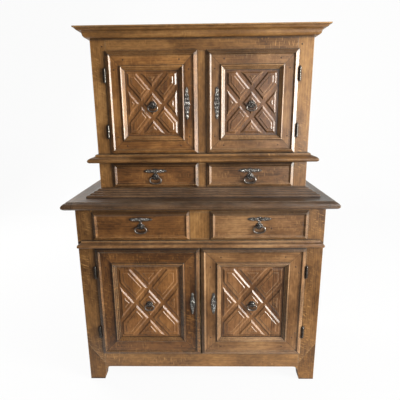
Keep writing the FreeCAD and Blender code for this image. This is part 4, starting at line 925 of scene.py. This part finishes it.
def pegMaterial():
    look = pegLook
    material, tree, shader = newMaterial("pegEnd")
    rings = pattern(tree, objectPoint(tree), look["rings"])
    color = blendColor(tree, remap(tree, rings, *look["range"]), look["dark"], look["pale"])
    feed(tree, shader.inputs["Base Color"], color)
    feed(tree, shader.inputs["Roughness"], total(tree, look["rough"], (rings, look["uneven"])))
    addBump(tree, shader, look["bump"], rings)
    return material


def drivePegs():
    pegEnd = pegMaterial()
    size = (pegs["radius"], pegs["oval"] * pegs["radius"], pegs["proud"])
    for body in ("lower", "upper"):
        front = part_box(f"{body}_posts")[0].y
        for hand in ("left", "right"):
            door = f"{body}_{hand}_door"
            low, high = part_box(door + "_frame")
            wide = pegs["frame"][body]
            grids = []
            for x, inX in ((low.x, 1), (high.x, -1)):
                for z, inZ in ((low.z, 1), (high.z, -1)):
                    for out, up in pegs["places"]:
                        place = (x + inX * out * wide, front - pegs["stand"], z + inZ * up * wide)
                        grids.append(bead(place, *size))
            makePiece(door + "_pegs", grids, pegEnd, door)
        low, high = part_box(f"{body}_front_rails")
        grids = []
        for x, out in ((low.x, -1), (high.x, 1)):
            for drop in pegs["drops"][body]:
                grids.append(bead((x + out * pegs["post"], front, high.z - drop), *size))
        makePiece(f"{body}_post_pegs", grids, pegEnd, "carcass")
    door, drawer = "lower_right_door", "lower_right_drawer"
    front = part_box("lower_posts")[0].y - pegs["stand"]
    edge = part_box(door + "_frame")[1].x - nails["in"]
    size = (nails["radius"], nails["radius"], nails["proud"])
    grids = [bead((edge, front, level), *size) for level in nails["level"]]
    makePiece(door + "_nails", grids, forgedIron, door)
    low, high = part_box(drawer + "_front")
    place = ((low.x + high.x) / 2 + knot["out"], front, (low.z + high.z) / 2 - knot["drop"])
    size = (knot["radius"], knot["oval"] * knot["radius"], knot["proud"])
    makePiece(drawer + "_knot", [bead(place, *size)], pegEnd, drawer)


drivePegs()
print("pegs driven")


# floor and backdrop: one pale sweep

sweep = {"half": 9.0, "front": -0.62, "bend": 3.0, "radius": 1.2, "top": 7.0, "below": 0.0005,
         "paper": (0.62, 0.62, 0.61, 1), "rough": 0.9, "seen": 0.94, "mirrored": 0.188}


def makeSweep():
    # floor line, a quarter circle and a wall line, carried along X
    turn = np.linspace(0, np.pi / 2, cuts["sweep"])
    bend, radius = sweep["bend"], sweep["radius"]
    runY = np.concatenate(([sweep["front"]], bend + radius * np.sin(turn), [bend + radius]))
    runZ = np.concatenate(([0.0], radius * (1 - np.cos(turn)), [sweep["top"]])) - sweep["below"]
    count = len(runY)
    ends = [np.full(count, side * sweep["half"]) for side in (-1, 1)]
    points = np.concatenate([np.stack((end, runY, runZ), 1) for end in ends])
    start = np.arange(count - 1)
    faces = np.stack((start, start + count, start + count + 1, start + 1), 1)
    mesh = bpy.data.meshes.new("studioSweep")
    mesh.from_pydata(points.tolist(), [], faces.tolist())
    mesh.shade_smooth()
    piece = bpy.data.objects.new("studioSweep", mesh)
    scene.collection.objects.link(piece)
    material, tree, paper = newMaterial("palePaper")
    paper.inputs["Base Color"].default_value = sweep["paper"]
    paper.inputs["Roughness"].default_value = sweep["rough"]
    glow = addNode(tree, "ShaderNodeEmission")
    mixed = addNode(tree, "ShaderNodeMixShader")
    feed(tree, mixed.inputs[0], seenLevel(tree, sweep["seen"], sweep["mirrored"]))
    feed(tree, mixed.inputs[1], paper.outputs[0])
    feed(tree, mixed.inputs[2], glow.outputs[0])
    feed(tree, tree.nodes["Material Output"].inputs["Surface"], mixed.outputs[0])
    mesh.materials.append(material)


makeSweep()


# light: a tall window on the right, its lower and upper panes nearer by, and soft fill behind

lamps = {
    "windowRight": {"place": (4.8, -2.1, 1.7), "aim": (0.0, -0.25, 1.05), "size": (1.9, 2.4), "power": 510.0,
                    "color": (0.96, 0.98, 0.95)},
    "lowPane": {"place": (2.2, -2.83, 0.98), "aim": (0.0, -0.28, 0.47), "size": (1.4, 0.45), "power": 38.0,
                "color": (1.0, 0.98, 0.96)},
    "highPane": {"place": (2.4, -1.7, 3.5), "aim": (0.0, -0.17, 1.5), "size": (1.8, 1.0), "power": 56.0,
                 "color": (0.96, 0.98, 1.0)},
    "farPane": {"place": (1.5, -4.2, 1.75), "aim": (0.3, -0.2, 1.5), "size": (1.6, 1.9), "power": 12.0,
                "color": (0.9, 0.95, 1.0)},
    "backFill": {"place": (-3.0, 1.8, 2.6), "aim": (0.0, 0.2, 1.0), "size": (2.2, 2.0), "power": 170.0,
                 "color": (1.0, 0.99, 0.97)},
}
air = {"level": 0.1, "seen": 0.965, "mirrored": 0.14, "color": (1, 1, 1, 1)}


def hangLamps():
    for name, lamp in lamps.items():
        data = bpy.data.lights.new(name, "AREA")
        data.shape = "RECTANGLE"
        data.size, data.size_y = lamp["size"]
        data.energy = lamp["power"]
        data.color = lamp["color"]
        piece = bpy.data.objects.new(name, data)
        piece.location = lamp["place"]
        facing = Vector(lamp["aim"]) - Vector(lamp["place"])
        piece.rotation_euler = facing.to_track_quat("-Z", "Y").to_euler()
        scene.collection.objects.link(piece)


def fillAir():
    world = bpy.data.worlds.new("studioAir")
    world.use_nodes = True
    tree = world.node_tree
    sky = tree.nodes["Background"]
    seen = seenLevel(tree, air["seen"], air["mirrored"])
    feed(tree, sky.inputs["Strength"], calc(tree, "MAXIMUM", seen, air["level"]))
    sky.inputs["Color"].default_value = air["color"]
    scene.world = world


hangLamps()
fillAir()


# camera at the photograph's place, its focal length in pixels of the photograph

view = {"place": (0.035, -1.999, 1.472), "down": 14.09, "turn": 1.09, "roll": -0.61, "focal": 360.0,
        "frame": 400.0, "sensor": 36.0}


def setCamera():
    data = bpy.data.cameras.new("frontView")
    data.sensor_width = view["sensor"]
    data.lens = view["focal"] / view["frame"] * view["sensor"]
    piece = bpy.data.objects.new("frontView", data)
    turned = Matrix.Rotation(math.radians(view["turn"]), 4, "Z")
    tilted = Matrix.Rotation(math.radians(90 - view["down"]), 4, "X")
    rolled = Matrix.Rotation(math.radians(view["roll"]), 4, "Z")
    piece.matrix_world = Matrix.Translation(view["place"]) @ turned @ tilted @ rolled
    scene.collection.objects.link(piece)
    scene.camera = piece


setCamera()
print("stage, lamps and camera set")
